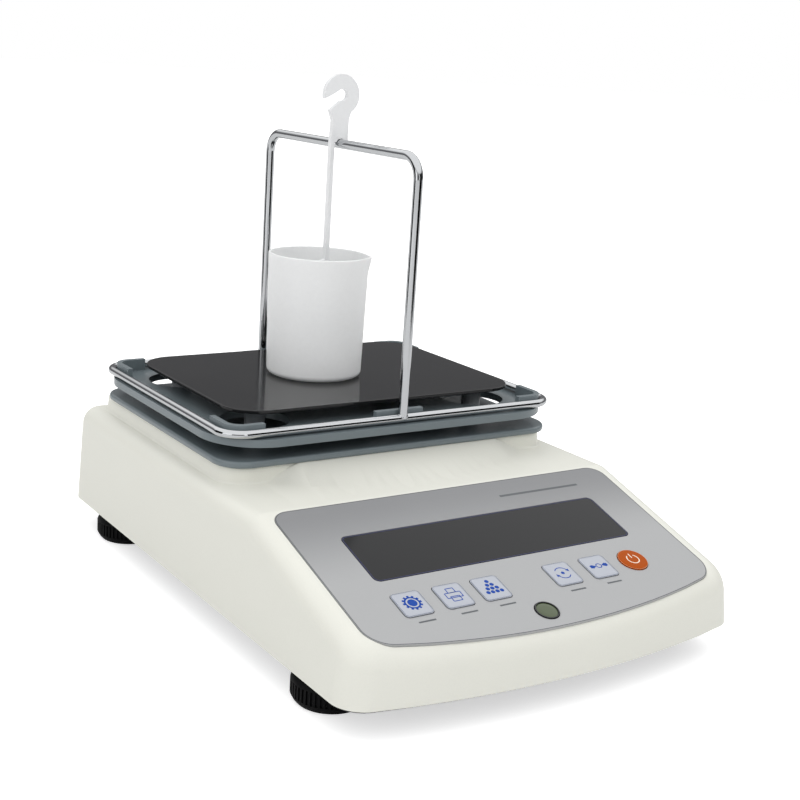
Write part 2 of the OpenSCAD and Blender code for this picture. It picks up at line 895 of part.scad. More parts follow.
module bracket_screws() {
    head_h = 3;
    color("silver") at_pan()
        for (x = cell_screw_x)
            translate([-x, 0, 0]) {
                upright(cell_head_r, column_z, column_z + head_h);
                upright(cell_screw_r, cell_top_z - cell_screw_in, column_z + eps);
            }
}

// Column and the cross-shaped spider on it
module pan_support() {
    color("lightgray") at_pan() {
        upright(column_r, column_z, spider_z + eps);
        translate([-spider_x, -spider_w / 2, spider_z])
            cube([2 * spider_x, spider_w, spider_t]);
        translate([-spider_w / 2, -spider_y, spider_z])
            cube([spider_w, 2 * spider_y, spider_t]);
    }
}

module pan_pads() {
    pad_r = 6;
    color("black") at_pan()
        for (p = [[1, 0], [-1, 0], [0, 1], [0, -1]])
            translate([p.x * (spider_x - pad_r - 1), p.y * (spider_y - pad_r - 1), 0])
                upright(pad_r, pad_z, tray_z);
}

// ---- Trays and table ----

// The clips stand just inside the ring, along its corners and the middles of its long bars
module ring_clips() {
    inner_w = ring_w - ring_wire - 2 * ring_gap;
    inner_l = ring_l - ring_wire - 2 * ring_gap;
    inner_r = ring_r - ring_wire / 2 - ring_gap;
    corner_x = 18;
    corner_y = 22;
    linear_extrude(clip_h) intersection() {
        difference() {
            rounded(inner_w, inner_l, inner_r);
            rounded(inner_w - 2 * clip_t, inner_l - 2 * clip_t, inner_r - clip_t);
        }
        union() {
            square([clip_w, 2 * inner_l], center = true);
            for (x = [-1, 1], y = [-1, 1])
                translate([x * inner_w / 2, y * inner_l / 2])
                    square([2 * corner_x, 2 * corner_y], center = true);
        }
    }
}

module weighing_tray() {
    color("silver") at_pan() {
        translate([0, 0, tray_z]) difference() {
            linear_extrude(tray_t)
                rounded(tray_w, tray_l, tray_r);
            for (p = post_at)
                translate([p.x, p.y, 0])
                    upright(tray_hole_r, -1, tray_t + 1);
        }
        translate([0, 0, tray_top_z]) ring_clips();
    }
}

module lower_tray() {
    lower_r = 15;
    color("darkgray") at_pan() difference() {
        translate([0, 0, plinth_z])
            linear_extrude(lower_t)
                rounded(lower_w, lower_l, lower_r);
        upright(column_r + column_gap, plinth_z - 1, lower_top_z + 1);
        for (p = tray_screw_at)
            translate([p.x, p.y, 0]) {
                screw_bore(tray_screw_r, plinth_z - 1, lower_top_z + 1);
                screw_bore(2 * tray_screw_r, lower_top_z - tray_head_t, lower_top_z + 1);
            }
        for (p = post_at)
            translate([p.x, p.y, 0])
                screw_bore(spigot_r, lower_top_z - spigot_h - fit_gap, lower_top_z + 1);
    }
}

module lower_tray_screws() {
    sunk = 0.2;
    color("silver") at_pan()
        for (p = tray_screw_at)
            translate([p.x, p.y, 0]) {
                upright(2 * tray_screw_r, lower_top_z - tray_head_t, lower_top_z - sunk);
                upright(tray_screw_r, plinth_z - tray_screw_l + 1, lower_top_z - tray_head_t + eps);
            }
}

module table_posts() {
    color("gray") at_pan()
        for (p = post_at)
            translate([p.x, p.y, 0]) {
                upright(post_r, lower_top_z, table_z);
                upright(spigot_r, lower_top_z - spigot_h, lower_top_z + eps);
            }
}

module table_plate() {
    color("dimgray") at_pan()
        translate([0, 0, table_z])
            linear_extrude(table_t)
                rounded(table_w, table_l, table_r);
}

// ---- Wire frame ----

// Quarter bend of wire in the XY plane about the origin
module bend(r, wire) {
    rotate_extrude(angle = 90) translate([r, 0]) circle(d = wire, $fn = 48);
}

module frame_ring() {
    half_w = ring_w / 2;
    half_l = ring_l / 2;
    color("silver") at_pan() translate([0, 0, ring_z]) {
        for (y = [-half_l, half_l])
            translate([0, y, 0])
                rotate([0, 90, 0])
                    cylinder(d = ring_wire, h = ring_w - 2 * ring_r, center = true, $fn = 48);
        for (x = [-half_w, half_w])
            translate([x, 0, 0])
                rotate([90, 0, 0])
                    cylinder(d = ring_wire, h = ring_l - 2 * ring_r, center = true, $fn = 48);
        for (k = [0 : 3]) {
            x = (k == 0 || k == 3 ? 1 : -1) * (half_w - ring_r);
            y = (k < 2 ? 1 : -1) * (half_l - ring_r);
            translate([x, y, 0]) rotate([0, 0, 90 * k]) bend(ring_r, ring_wire);
        }
    }
}

// The legs are coped onto the ring, where they are welded
module frame_arch() {
    half_l = ring_l / 2;
    color("silver") at_pan() difference() {
        union() {
            for (y = [-half_l, half_l])
                translate([0, y, ring_z])
                    cylinder(d = arch_wire, h = arch_h - arch_r, $fn = 48);
            translate([0, 0, bar_z])
                rotate([90, 0, 0])
                    cylinder(d = arch_wire, h = ring_l - 2 * arch_r, center = true, $fn = 48);
            for (k = [0, 1])
                translate([0, (1 - 2 * k) * (half_l - arch_r), bar_z - arch_r])
                    rotate([0, 0, 180 * k])
                        rotate([0, -90, 0])
                            bend(arch_r, arch_wire);
        }
        for (y = [-half_l, half_l])
            translate([0, y, ring_z])
                rotate([0, 90, 0])
                    cylinder(d = ring_wire, h = 2 * arch_wire, center = true, $fn = 48);
    }
}

// ---- Cup and hanger ----

// Half section of a tapered cup, "inset" inside its outer face
function cup_section(inset) =
    let (slope = (cup_rim_r - cup_base_r) / cup_h, r = cup_edge_r - inset,
         base = cup_base_r - inset, rim = cup_rim_r - inset, z0 = inset > 0 ? cup_floor : 0)
    concat([[0, z0]], arc([base - r, z0 + r], r, -90, 0, 8),
           [[rim, inset > 0 ? cup_h + 1 : cup_h], [0, inset > 0 ? cup_h + 1 : cup_h]]);

module spout_cone(inset) {
    spout_reach = 1.5;
    translate([cup_rim_r + spout_reach - spout_w / 2, 0, cup_h - 2 * spout_w])
        cylinder(r1 = 0.01, r2 = spout_w / 2 - inset, h = 2 * spout_w);
}

module cup() {
    color("white") translate([cup_at.x, cup_at.y, table_top_z]) rotate([0, 0, spout_angle]) difference() {
        union() {
            rotate_extrude() polygon(cup_section(0));
            spout_cone(0);
        }
        rotate_extrude() polygon(cup_section(cup_wall));
        translate([0, 0, 0.01]) spout_cone(cup_wall);
    }
}

// Outline of the flat hanger in X and height above the crossbar's centre
module hanger_outline() {
    seat_r = 3;
    neck_right = 4.2;
    neck_foot = 0.8;
    head_x = -0.4;
    stem_end = stem_hole_z - bar_z;
    neck = [[5.4, -8.2], [8.7, -3.4], [-7.1, -7.8], [stem_left + 0.6, -13]];
    mouth = [[-1.5, 2.6], [-0.9, -2.9], [-7.1, -7.8], [-14, -10], [-14, -2.8], [-10.4, -2.2],
             [-6.9, -0.6]];
    difference() {
        union() {
            translate([head_x, head_up])
                circle(head_r);
            polygon(concat([[stem_left, 0], [neck_right, neck_foot], [neck_right, head_up - 12]],
                           [for (p = neck) p + [0, head_up]]));
            translate([stem_left, stem_end])
                square([stem_w, 1 - stem_end]);
            translate([stem_x, stem_end])
                circle(eye_r);
        }
        circle(saddle_r);
        translate([stem_right, -saddle_r])
            square([saddle_r - stem_right, saddle_r + neck_foot]);
        translate([head_x + 0.2, head_up])
            circle(seat_r);
        translate([0, head_up])
            polygon(mouth);
        translate([stem_x, stem_end])
            circle(eye_hole_r);
    }
}

module hanger() {
    color("white") translate([0, pan_y + hanger_t / 2, bar_z])
        rotate([90, 0, 0])
            linear_extrude(hanger_t)
                hanger_outline();
}

module sinker_loop() {
    color("silver") translate([stem_x, pan_y, loop_z])
        rotate([0, 90, 0])
            rotate_extrude()
                translate([loop_r, 0])
                    circle(loop_wire_r, $fn = 24);
}

// Glass body with round ends and an eye on top
module sinker() {
    top_z = glass_eye_z - glass_eye_r;
    color("lightblue") translate([stem_x, pan_y, 0]) {
        translate([0, 0, glass_eye_z])
            rotate([90, 0, 0])
                rotate_extrude()
                    translate([glass_eye_r, 0])
                        circle(glass_wire_r, $fn = 24);
        translate([0, 0, top_z - sinker_l]) {
            upright(sinker_r, sinker_r, sinker_l - sinker_r);
            for (z = [sinker_r, sinker_l - sinker_r])
                translate([0, 0, z])
                    sphere(sinker_r);
        }
    }
}

// ---- Feet ----

// Moulded knob with a bore that takes the stud
module knob(p) {
    low_in = 1.8;
    low_h = 3.4;
    high_in = 3;
    high_h = 3.6;
    color("black") translate([p.x, p.y, 0]) difference() {
        rotate_extrude()
            polygon([[0, 0], [knob_r - low_in, 0], [knob_r, low_h], [knob_r, knob_h - high_h],
                     [knob_r - high_in, knob_h], [0, knob_h]]);
        upright(stud_r + fit_gap, knob_h - bore_depth, knob_h + 1);
    }
}

module stud(p) {
    color("silver") translate([p.x, p.y, 0])
        upright(stud_r, knob_h - bore_depth + fit_gap, knob_h + stud_l);
}

module foot_nuts() {
    color("goldenrod")
        for (p = foot_at)
            translate([p.x, p.y, floor_z])
                difference() {
                    cylinder(d = nut_w / cos(30), h = nut_h, $fn = 6);
                    upright(stud_r + fit_gap, -1, nut_h + 1);
                }
}

module front_left_knob() { knob(foot_at[0]); }
module front_right_knob() { knob(foot_at[1]); }
module rear_left_knob() { knob(foot_at[2]); }
module rear_right_knob() { knob(foot_at[3]); }
module front_left_stud() { stud(foot_at[0]); }
module front_right_stud() { stud(foot_at[1]); }
module rear_left_stud() { stud(foot_at[2]); }
module rear_right_stud() { stud(foot_at[3]); }

base_plate();
top_cover();
cover_screws();
rear_plate();
power_socket();
serial_port();
front_panel();
display_window();
display_module();
display_board();
keypad_board();
key_switches();
menu_key();
record_key();
start_key();
mode_key();
zero_key();
power_key();
level_vial();
level_ring();
main_board();
board_parts();
board_standoffs();
load_cell();
load_cell_block();
load_cell_screws();
overload_stop();
pan_bracket();
bracket_screws();
pan_support();
pan_pads();
weighing_tray();
lower_tray();
lower_tray_screws();
table_posts();
table_plate();
frame_ring();
frame_arch();
cup();
hanger();
sinker_loop();
sinker();
foot_nuts();
front_left_stud();
front_right_stud();
rear_left_stud();
rear_right_stud();
front_left_knob();
front_right_knob();
rear_left_knob();
rear_right_knob();
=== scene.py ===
# %% [markdown]
# # Dressing a benchtop density meter
# The instrument is a laboratory balance with a wire frame and a cup on top: hang a sample from the
# frame, in air and then in the water of the cup, and its density follows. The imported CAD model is
# loaded as a fixed frame. Every piece that is modelled below is placed in that frame, so nothing has to
# be fitted afterwards.

import json
import math
from contextlib import contextmanager

import bmesh
import bpy
from mathutils import Matrix, Vector

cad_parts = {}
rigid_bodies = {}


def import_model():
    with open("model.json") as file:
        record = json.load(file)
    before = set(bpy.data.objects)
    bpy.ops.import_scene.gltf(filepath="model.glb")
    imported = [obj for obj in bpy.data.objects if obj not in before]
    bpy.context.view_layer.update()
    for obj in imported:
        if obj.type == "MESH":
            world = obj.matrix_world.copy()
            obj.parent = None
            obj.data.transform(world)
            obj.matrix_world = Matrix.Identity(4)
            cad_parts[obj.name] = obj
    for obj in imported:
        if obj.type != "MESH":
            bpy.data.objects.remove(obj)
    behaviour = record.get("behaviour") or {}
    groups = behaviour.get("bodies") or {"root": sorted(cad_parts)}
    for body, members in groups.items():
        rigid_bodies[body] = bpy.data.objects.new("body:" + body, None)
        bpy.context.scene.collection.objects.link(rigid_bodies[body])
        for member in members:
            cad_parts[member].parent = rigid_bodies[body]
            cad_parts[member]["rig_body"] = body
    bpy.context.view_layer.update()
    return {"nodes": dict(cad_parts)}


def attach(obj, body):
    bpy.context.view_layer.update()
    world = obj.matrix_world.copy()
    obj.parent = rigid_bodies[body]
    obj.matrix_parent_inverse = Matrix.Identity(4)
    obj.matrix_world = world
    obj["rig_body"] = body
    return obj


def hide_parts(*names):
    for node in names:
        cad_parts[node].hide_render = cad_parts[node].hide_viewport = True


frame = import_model()
MM = 0.001

# %% [markdown]
# ## The camera
# The photograph was taken from the front left and a little above. The camera's azimuth, elevation, roll
# and lens came from lining up straight edges of the trays and the console with the photograph. A camera
# looks down its own -Z, so it is tipped up about X first and then turned about Z.

# %% Camera
CAMERA_AT = Vector((-366.5, -543.8, 262.4)) * MM
turn = Matrix.Rotation(math.radians(-34.36), 4, "Z")
tip = Matrix.Rotation(math.radians(90 - 14.17), 4, "X")
roll = Matrix.Rotation(math.radians(3.77), 4, "Z")
bpy.ops.object.select_all(action="DESELECT")
bpy.ops.object.camera_add(location=CAMERA_AT)
camera = bpy.context.active_object
camera.name = "photo_camera"
camera.matrix_world = Matrix.Translation(CAMERA_AT) @ turn @ tip @ roll
camera.data.sensor_fit = "HORIZONTAL"
camera.data.sensor_width = 36
camera.data.lens = 61.34
camera.data.clip_start = 0.02
bpy.context.scene.camera = camera
print("camera lens", camera.data.lens, "mm")

# %% [markdown]
# ## Working by hand, in code
# Each piece starts as a primitive and is shaped in edit mode. An operator acts on all that is selected,
# so a piece is made the only selected object first, and its faces or edges are then chosen by a test of
# their place or direction.


# %% Choosing objects and parts of a mesh
def only(piece):
    """Makes a piece the one selected and active object."""
    bpy.ops.object.select_all(action="DESELECT")
    piece.select_set(True)
    bpy.context.view_layer.objects.active = piece


def named(name):
    """Names the object that an operator has just made."""
    piece = bpy.context.active_object
    piece.name = name
    piece.data.name = name
    return piece


def added(name, operator, **settings):
    """Adds a primitive or a lamp while nothing else is selected, and names it."""
    bpy.ops.object.select_all(action="DESELECT")
    operator(**settings)
    return named(name)


@contextmanager
def editing(piece):
    """Opens a piece in edit mode for the lines of one block."""
    only(piece)
    bpy.ops.object.mode_set(mode="EDIT")
    yield piece
    bpy.ops.object.mode_set(mode="OBJECT")


def choose(piece, kind, test):
    """In edit mode, selects the vertices, edges or faces that pass a test, and says how many."""
    bpy.ops.mesh.select_mode(type=kind)
    bpy.ops.mesh.select_all(action="DESELECT")
    mesh = bmesh.from_edit_mesh(piece.data)
    parts = {"VERT": mesh.verts, "EDGE": mesh.edges, "FACE": mesh.faces}[kind]
    chosen = [part for part in parts if test(part)]
    for part in chosen:
        part.select_set(True)
    bmesh.update_edit_mesh(piece.data)
    return len(chosen)


def middle(part):
    """Middle of an edge or a face, in millimetres."""
    return sum((v.co for v in part.verts), Vector()) / len(part.verts) / MM


def upright(edge):
    """Whether an edge runs up and down."""
    way = edge.verts[1].co - edge.verts[0].co
    return abs(way.z) > 0.9 * way.length


# %% [markdown]
# ## Starting shapes and finishing touches
# Most parts of the instrument are plates with rounded corners. A box gets its corners by a bevel of its
# upright edges, and its soft moulded edges by a Bevel modifier that acts wherever two faces meet
# sharply. Weighted normals keep the flat faces flat beside those narrow bevels.


# %% Boxes, cylinders and modifiers
def block(name, low, high):
    """A box between two corners, in millimetres."""
    piece = added(name, bpy.ops.mesh.primitive_cube_add, size=1)
    piece.scale = [(b - a) * MM for a, b in zip(low, high)]
    piece.location = [(a + b) / 2 * MM for a, b in zip(low, high)]
    bpy.ops.object.transform_apply(location=True, rotation=True, scale=True)
    return piece


def drum(name, x, y, low, high, radius, top_radius=None, sides=64):
    """An upright cylinder or cone, in millimetres."""
    piece = added(
        name,
        bpy.ops.mesh.primitive_cone_add,
        vertices=sides,
        radius1=radius * MM,
        radius2=(radius if top_radius is None else top_radius) * MM,
        depth=(high - low) * MM,
        location=(x * MM, y * MM, (low + high) / 2 * MM),
    )
    bpy.ops.object.transform_apply(location=True, rotation=True, scale=True)
    return piece


def round_corners(piece, radius, where=lambda at: True, segments=12):
    """Rounds the sharp upright edges whose middle passes the test."""
    with editing(piece):
        choose(piece, "EDGE", lambda e: upright(e) and e.calc_face_angle(0) > 0.6 and where(middle(e)))
        bpy.ops.mesh.bevel(offset=radius * MM, segments=segments, affect="EDGES", clamp_overlap=False)


def move(x, y, z):
    """A shift in millimetres, as a matrix."""
    return Matrix.Translation((x * MM, y * MM, z * MM))


def put(piece, matrix):
    """Moves a piece that was modelled about the origin to its place, and keeps the place in its mesh."""
    only(piece)
    piece.matrix_world = matrix
    bpy.ops.object.transform_apply(location=True, rotation=True, scale=True)
    return piece


def twin(piece, name):
    """A copy with a mesh of its own."""
    only(piece)
    bpy.ops.object.duplicate()
    return named(name)


def carve(piece, tool, how="DIFFERENCE"):
    """Cuts one solid from another, adds it or keeps what both share; the tool is used up."""
    only(piece)
    print("  carve", piece.name, volume(piece), how, tool.name, volume(tool))
    cut = piece.modifiers.new("carve", "BOOLEAN")
    cut.operation = how
    cut.solver = "EXACT"
    cut.object = tool
    bpy.ops.object.modifier_apply(modifier=cut.name)
    bpy.data.objects.remove(tool)
    return piece


def clean(piece, reach):
    """Merges points that lie closer than the reach, and drops faces that have no area."""
    with editing(piece):
        bpy.ops.mesh.select_all(action="SELECT")
        bpy.ops.mesh.remove_doubles(threshold=reach * MM)
        bpy.ops.mesh.dissolve_degenerate(threshold=reach * MM)


def soften(piece, width, segments=3, angle=35, smooth=40):
    """Rounds the sharp edges a little and shades the piece smooth."""
    clean(piece, 0.02)
    only(piece)
    edge = piece.modifiers.new("soft_edges", "BEVEL")
    edge.width = width * MM
    edge.segments = segments
    edge.limit_method = "ANGLE"
    edge.angle_limit = math.radians(angle)
    edge.use_clamp_overlap = True
    bpy.ops.object.modifier_apply(modifier=edge.name)
    clean(piece, 0.002)
    shade(piece, smooth)


def shade(piece, smooth=40):
    only(piece)
    bpy.ops.object.shade_smooth_by_angle(angle=math.radians(smooth))
    weigh = piece.modifiers.new("flat_faces", "WEIGHTED_NORMAL")
    weigh.keep_sharp = True
    bpy.ops.object.modifier_apply(modifier=weigh.name)


def merge(pieces, name):
    """Joins several meshes into one object."""
    bpy.ops.object.select_all(action="DESELECT")
    for piece in pieces:
        piece.select_set(True)
    bpy.context.view_layer.objects.active = pieces[0]
    if len(pieces) > 1:
        bpy.ops.object.join()
    return named(name)


def volume(piece):
    """Volume in cubic centimetres; a solid that is inside out gives a negative one."""
    mesh = bmesh.new()
    mesh.from_mesh(piece.data)
    cubic = mesh.calc_volume(signed=True) * 1e6
    mesh.free()
    return round(cubic, 2)


def dress(piece, material, body, *nodes):
    """Gives a piece its material and its body, and lets it stand for CAD nodes."""
    piece.data.materials.clear()
    piece.data.materials.append(material)
    if nodes:
        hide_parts(*nodes)
    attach(piece, body)
    print(piece.name, "-", len(piece.data.polygons), "faces,", volume(piece), "cm3, on", body)
    return piece


# %% [markdown]
# ## Shared surface effects
# Moulded plastic is never one even colour: it has a cloudy tone, a fine grain and a gloss that varies a
# little. Drawn or brushed metal has fine lines along one direction. Each effect is a node group with
# inputs, so every material can use it at its own scale.


# %% Node groups
def group(name, inputs):
    """An empty node group that will put out a colour, a roughness and a height."""
    tree = bpy.data.node_groups.new(name, "ShaderNodeTree")
    for label, kind, value in inputs:
        socket = tree.interface.new_socket(label, in_out="INPUT", socket_type="NodeSocket" + kind)
        if value is not None:
            socket.default_value = value
    for label, kind in (("Colour", "Color"), ("Roughness", "Float"), ("Height", "Float")):
        tree.interface.new_socket(label, in_out="OUTPUT", socket_type="NodeSocket" + kind)
    return tree, tree.nodes.new("NodeGroupInput"), tree.nodes.new("NodeGroupOutput")


def math_node(tree, operation, a, b):
    node = tree.nodes.new("ShaderNodeMath")
    node.operation = operation
    for socket, value in zip(node.inputs, (a, b)):
        if isinstance(value, (int, float)):
            socket.default_value = value
        else:
            tree.links.new(value, socket)
    return node.outputs[0]


def noise_node(tree, vector, scale, detail):
    node = tree.nodes.new("ShaderNodeTexNoise")
    node.inputs["Detail"].default_value = detail
    tree.links.new(vector, node.inputs["Vector"])
    if isinstance(scale, (int, float)):
        node.inputs["Scale"].default_value = scale
    else:
        tree.links.new(scale, node.inputs["Scale"])
    return node.outputs["Fac"]


def tone_node(tree, colour, strength, mask):
    """The colour made lighter or darker where the mask is above or below a half."""
    change = math_node(tree, "MULTIPLY", math_node(tree, "SUBTRACT", mask, 0.5), strength)
    node = tree.nodes.new("ShaderNodeVectorMath")
    node.operation = "SCALE"
    tree.links.new(colour, node.inputs[0])
    tree.links.new(math_node(tree, "ADD", change, 1.0), node.inputs["Scale"])
    return node.outputs["Vector"]


def moulded_group():
    inputs = [
        ("Vector", "Vector", None),
        ("Colour", "Color", (0.8, 0.8, 0.8, 1)),
        ("Cloud", "Float", 0.06),
        ("Grain", "Float", 900.0),
        ("Gloss", "Float", 0.4),
    ]
    tree, start, end = group("moulded_skin", inputs)
    cloud = noise_node(tree, start.outputs["Vector"], 22.0, 3.0)
    grain = noise_node(tree, start.outputs["Vector"], start.outputs["Grain"], 2.0)
    toned = tone_node(tree, start.outputs["Colour"], start.outputs["Cloud"], cloud)
    speckled = tone_node(tree, toned, 0.05, grain)
    rough = math_node(tree, "ADD", start.outputs["Gloss"], math_node(tree, "MULTIPLY", cloud, 0.08))
    tree.links.new(speckled, end.inputs["Colour"])
    tree.links.new(rough, end.inputs["Roughness"])
    tree.links.new(grain, end.inputs["Height"])
    return tree


def drawn_group():
    inputs = [
        ("Vector", "Vector", None),
        ("Colour", "Color", (0.6, 0.6, 0.6, 1)),
        ("Stretch", "Vector", (1, 1, 1)),
        ("Lines", "Float", 0.12),
        ("Gloss", "Float", 0.25),
    ]
    tree, start, end = group("drawn_metal", inputs)
    stretch = tree.nodes.new("ShaderNodeVectorMath")
    stretch.operation = "MULTIPLY"
    tree.links.new(start.outputs["Vector"], stretch.inputs[0])
    tree.links.new(start.outputs["Stretch"], stretch.inputs[1])
    lines = noise_node(tree, stretch.outputs["Vector"], 1.0, 4.0)
    smudge = noise_node(tree, start.outputs["Vector"], 30.0, 2.0)
    toned = tone_node(tree, start.outputs["Colour"], start.outputs["Lines"], lines)
    rough = math_node(tree, "ADD", start.outputs["Gloss"], math_node(tree, "MULTIPLY", lines, 0.1))
    rough = math_node(tree, "ADD", rough, math_node(tree, "MULTIPLY", smudge, 0.05))
    tree.links.new(toned, end.inputs["Colour"])
    tree.links.new(rough, end.inputs["Roughness"])
    tree.links.new(lines, end.inputs["Height"])
    return tree


MOULDED = moulded_group()
DRAWN = drawn_group()
print("node groups:", [tree.name for tree in (MOULDED, DRAWN)])


# %% [markdown]
# ## Materials
# A colour is written as a paint chip would be read, from 0 to 255, and turned into the linear value
# that a shader needs. The shader itself stays in each material, with its plain values on its own
# sockets.


# %% Material makers
def chip(red, green, blue):
    """A linear colour from a screen colour."""
    return tuple(((c / 255 + 0.055) / 1.055) ** 2.4 for c in (red, green, blue)) + (1,)


def shader(name, **plain):
    """A material with a Principled shader, and the place that its patterns are drawn by."""
    material = bpy.data.materials.new(name)
    material.use_nodes = True
    tree = material.node_tree
    tree.nodes.clear()
    out = tree.nodes.new("ShaderNodeOutputMaterial")
    bsdf = tree.nodes.new("ShaderNodeBsdfPrincipled")
    tree.links.new(bsdf.outputs["BSDF"], out.inputs["Surface"])
    place = tree.nodes.new("ShaderNodeTexCoord")
    for label, value in plain.items():
        bsdf.inputs[label.replace("_", " ")].default_value = value
    return material, tree, bsdf, place.outputs["Object"]


def effect(tree, kind, vector, bsdf, bump, depth, **values):
    """Places an effect group, feeds colour, roughness and bump from it, and gives back its node."""
    node = tree.nodes.new("ShaderNodeGroup")
    node.node_tree = kind
    tree.links.new(vector, node.inputs["Vector"])
    for label, value in values.items():
        node.inputs[label].default_value = value
    tree.links.new(node.outputs["Colour"], bsdf.inputs["Base Color"])
    tree.links.new(node.outputs["Roughness"], bsdf.inputs["Roughness"])
    if bump:
        relief = tree.nodes.new("ShaderNodeBump")
        relief.inputs["Strength"].default_value = bump
        relief.inputs["Distance"].default_value = depth * MM
        tree.links.new(node.outputs["Height"], relief.inputs["Height"])
        tree.links.new(relief.outputs["Normal"], bsdf.inputs["Normal"])
    return node


def plastic(name, colour, gloss=0.4, grain=900.0, cloud=0.06, bump=0.15, **plain):
    material, tree, bsdf, place = shader(name, **plain)
    look = {"Colour": chip(*colour), "Cloud": cloud, "Grain": grain, "Gloss": gloss}
    effect(tree, MOULDED, place, bsdf, bump, 0.05, **look)
    return material


def metal(name, colour, gloss=0.25, stretch=(60, 60, 2500), lines=0.12, bump=0.1, metallic=1.0, **plain):
    material, tree, bsdf, place = shader(name, Metallic=metallic, **plain)
    look = {"Colour": chip(*colour), "Stretch": stretch, "Lines": lines, "Gloss": gloss}
    effect(tree, DRAWN, place, bsdf, bump, 0.02, **look)
    return material


# %% Plastics, films and rubber
cover_plastic = plastic("cover_plastic", (225, 225, 216), gloss=0.42, grain=1500.0, cloud=0.03, bump=0.12)
base_plastic = plastic("base_plastic", (52, 53, 56), gloss=0.5, grain=1200.0)
tray_plastic = plastic("tray_plastic", (108, 118, 122), gloss=0.22, grain=1400.0, cloud=0.08, bump=0.1)
table_plastic = plastic("table_plastic", (22, 22, 23), gloss=0.09, grain=600.0, cloud=0.2, bump=0.02,
                        Specular_IOR_Level=0.42)
post_plastic = plastic("post_plastic", (120, 124, 128), gloss=0.4)
cup_plastic = plastic("cup_plastic", (244, 245, 245), gloss=0.38, grain=500.0, cloud=0.02, bump=0.03,
                      Subsurface_Weight=0.3, Subsurface_Scale=0.012, Subsurface_Radius=(1.0, 1.0, 1.0))
hanger_plastic = plastic("hanger_plastic", (238, 239, 240), gloss=0.35, grain=700.0, cloud=0.02,
                         bump=0.03)
knob_rubber = plastic("knob_rubber", (8, 8, 9), gloss=0.5, grain=1500.0, cloud=0.2,
                      Specular_IOR_Level=0.12)
pad_rubber = plastic("pad_rubber", (26, 26, 27), gloss=0.7, grain=1800.0)
ring_black = plastic("ring_black", (24, 26, 28), gloss=0.25, bump=0.05)
key_print = plastic("key_print", (6, 66, 158), gloss=0.45, grain=3000.0, cloud=0.1, bump=0.02,
                    Specular_IOR_Level=0.2)
# Partly painted shade: the blue-grey line round each key's edge is a printed outline and the shade on the
# key's bevel.
key_rim = plastic("key_rim", (72, 86, 116), gloss=0.4, grain=3000.0, bump=0.02, Specular_IOR_Level=0.2)
panel_dark_grey = plastic("panel_dark_grey", (84, 88, 92), gloss=0.4, grain=3000.0, bump=0.02)
window_print = plastic("window_print", (8, 18, 70), gloss=0.4, grain=3000.0, bump=0.02)
power_print = plastic("power_print", (246, 232, 214), gloss=0.35, grain=3000.0, bump=0.02)
socket_black = plastic("socket_black", (24, 24, 25), gloss=0.42)
chip_black = plastic("chip_black", (32, 33, 35), gloss=0.45, grain=2600.0)
print("plastics made")

# %% Metals
chrome = metal("chrome", (190, 192, 194), gloss=0.03, stretch=(40, 40, 40), lines=0.04, bump=0.0)
drawn_steel = metal("drawn_steel", (176, 178, 180), gloss=0.22, stretch=(900, 900, 60))
zinc = metal("zinc", (188, 190, 184), gloss=0.3, stretch=(300, 300, 300), lines=0.2)
brass = metal("brass", (196, 164, 92), gloss=0.28, stretch=(500, 500, 60))
milled_aluminium = metal("milled_aluminium", (190, 192, 195), gloss=0.32, stretch=(60, 1500, 1500))
print("metals made")


# %% [markdown]
# The console's film is silver ink under a clear matt layer, with a fine metallic grain. Its colour carries
# painted shade: it is painted darker at the panel's rear edge and lighter from its middle to the front,
# standing in for how the light falls across the film.


# %% Panel film, keys, window, level, board and glass
def painted_slope(name, dark, light, low, high, gloss, metallic):
    """A film whose colour is painted darker at one point of the object and lighter at another: painted
    shade.
    """
    material, tree, bsdf, place = shader(name, Metallic=metallic)
    node = effect(tree, DRAWN, place, bsdf, 0.06, 0.01, Stretch=(2600, 2600, 2600), Lines=0.1,
                  Gloss=gloss)
    slope = tree.nodes.new("ShaderNodeVectorMath")
    slope.operation = "DOT_PRODUCT"
    way = Vector(high) - Vector(low)
    tree.links.new(place, slope.inputs[0])
    slope.inputs[1].default_value = way / way.length_squared / MM
    shift = math_node(tree, "SUBTRACT", slope.outputs["Value"], Vector(low).dot(way) / way.length_squared)
    ramp = tree.nodes.new("ShaderNodeValToRGB")
    ramp.color_ramp.interpolation = "EASE"
    ramp.color_ramp.elements[0].color = chip(*dark)
    ramp.color_ramp.elements[1].color = chip(*light)
    tree.links.new(shift, ramp.inputs["Fac"])
    tree.links.new(ramp.outputs["Color"], node.inputs["Colour"])
    return material


# Painted shade: the panel film is painted darker at its rear edge and lighter towards the front.
panel_film = painted_slope("panel_film", (134, 135, 137), (170, 171, 172), (0, -52, 0), (0, -105, 0), 0.4, 0.25)
key_film = metal("key_film", (176, 180, 189), gloss=0.26, stretch=(2600, 2600, 2600), lines=0.06,
                 metallic=0.35)
power_film = plastic("power_film", (172, 76, 0), gloss=0.4, grain=2500.0, cloud=0.1, bump=0.05,
                     Specular_IOR_Level=0.08)
# Painted highlight: the pale ring on the power key's top edge stands in for light caught by its rounded
# edge.
power_highlight_ring = plastic("power_highlight_ring", (240, 196, 160), gloss=0.3, grain=2500.0, bump=0.02)
window_film = plastic("window_film", (13, 14, 17), gloss=0.07, grain=700.0, cloud=0.3, bump=0.01,
                      Specular_IOR_Level=0.24)
level_green = plastic("level_green", (70, 82, 52), gloss=0.12, grain=400.0, cloud=0.5, bump=0.02)
lcd_green = plastic("lcd_green", (96, 108, 92), gloss=0.3, grain=1200.0)
glass, glass_tree, glass_bsdf, glass_place = shader("glass", Transmission_Weight=1.0, IOR=1.5)
effect(glass_tree, MOULDED, glass_place, glass_bsdf, 0.0, 0.0, Colour=chip(226, 238, 240), Cloud=0.02,
       Gloss=0.02)


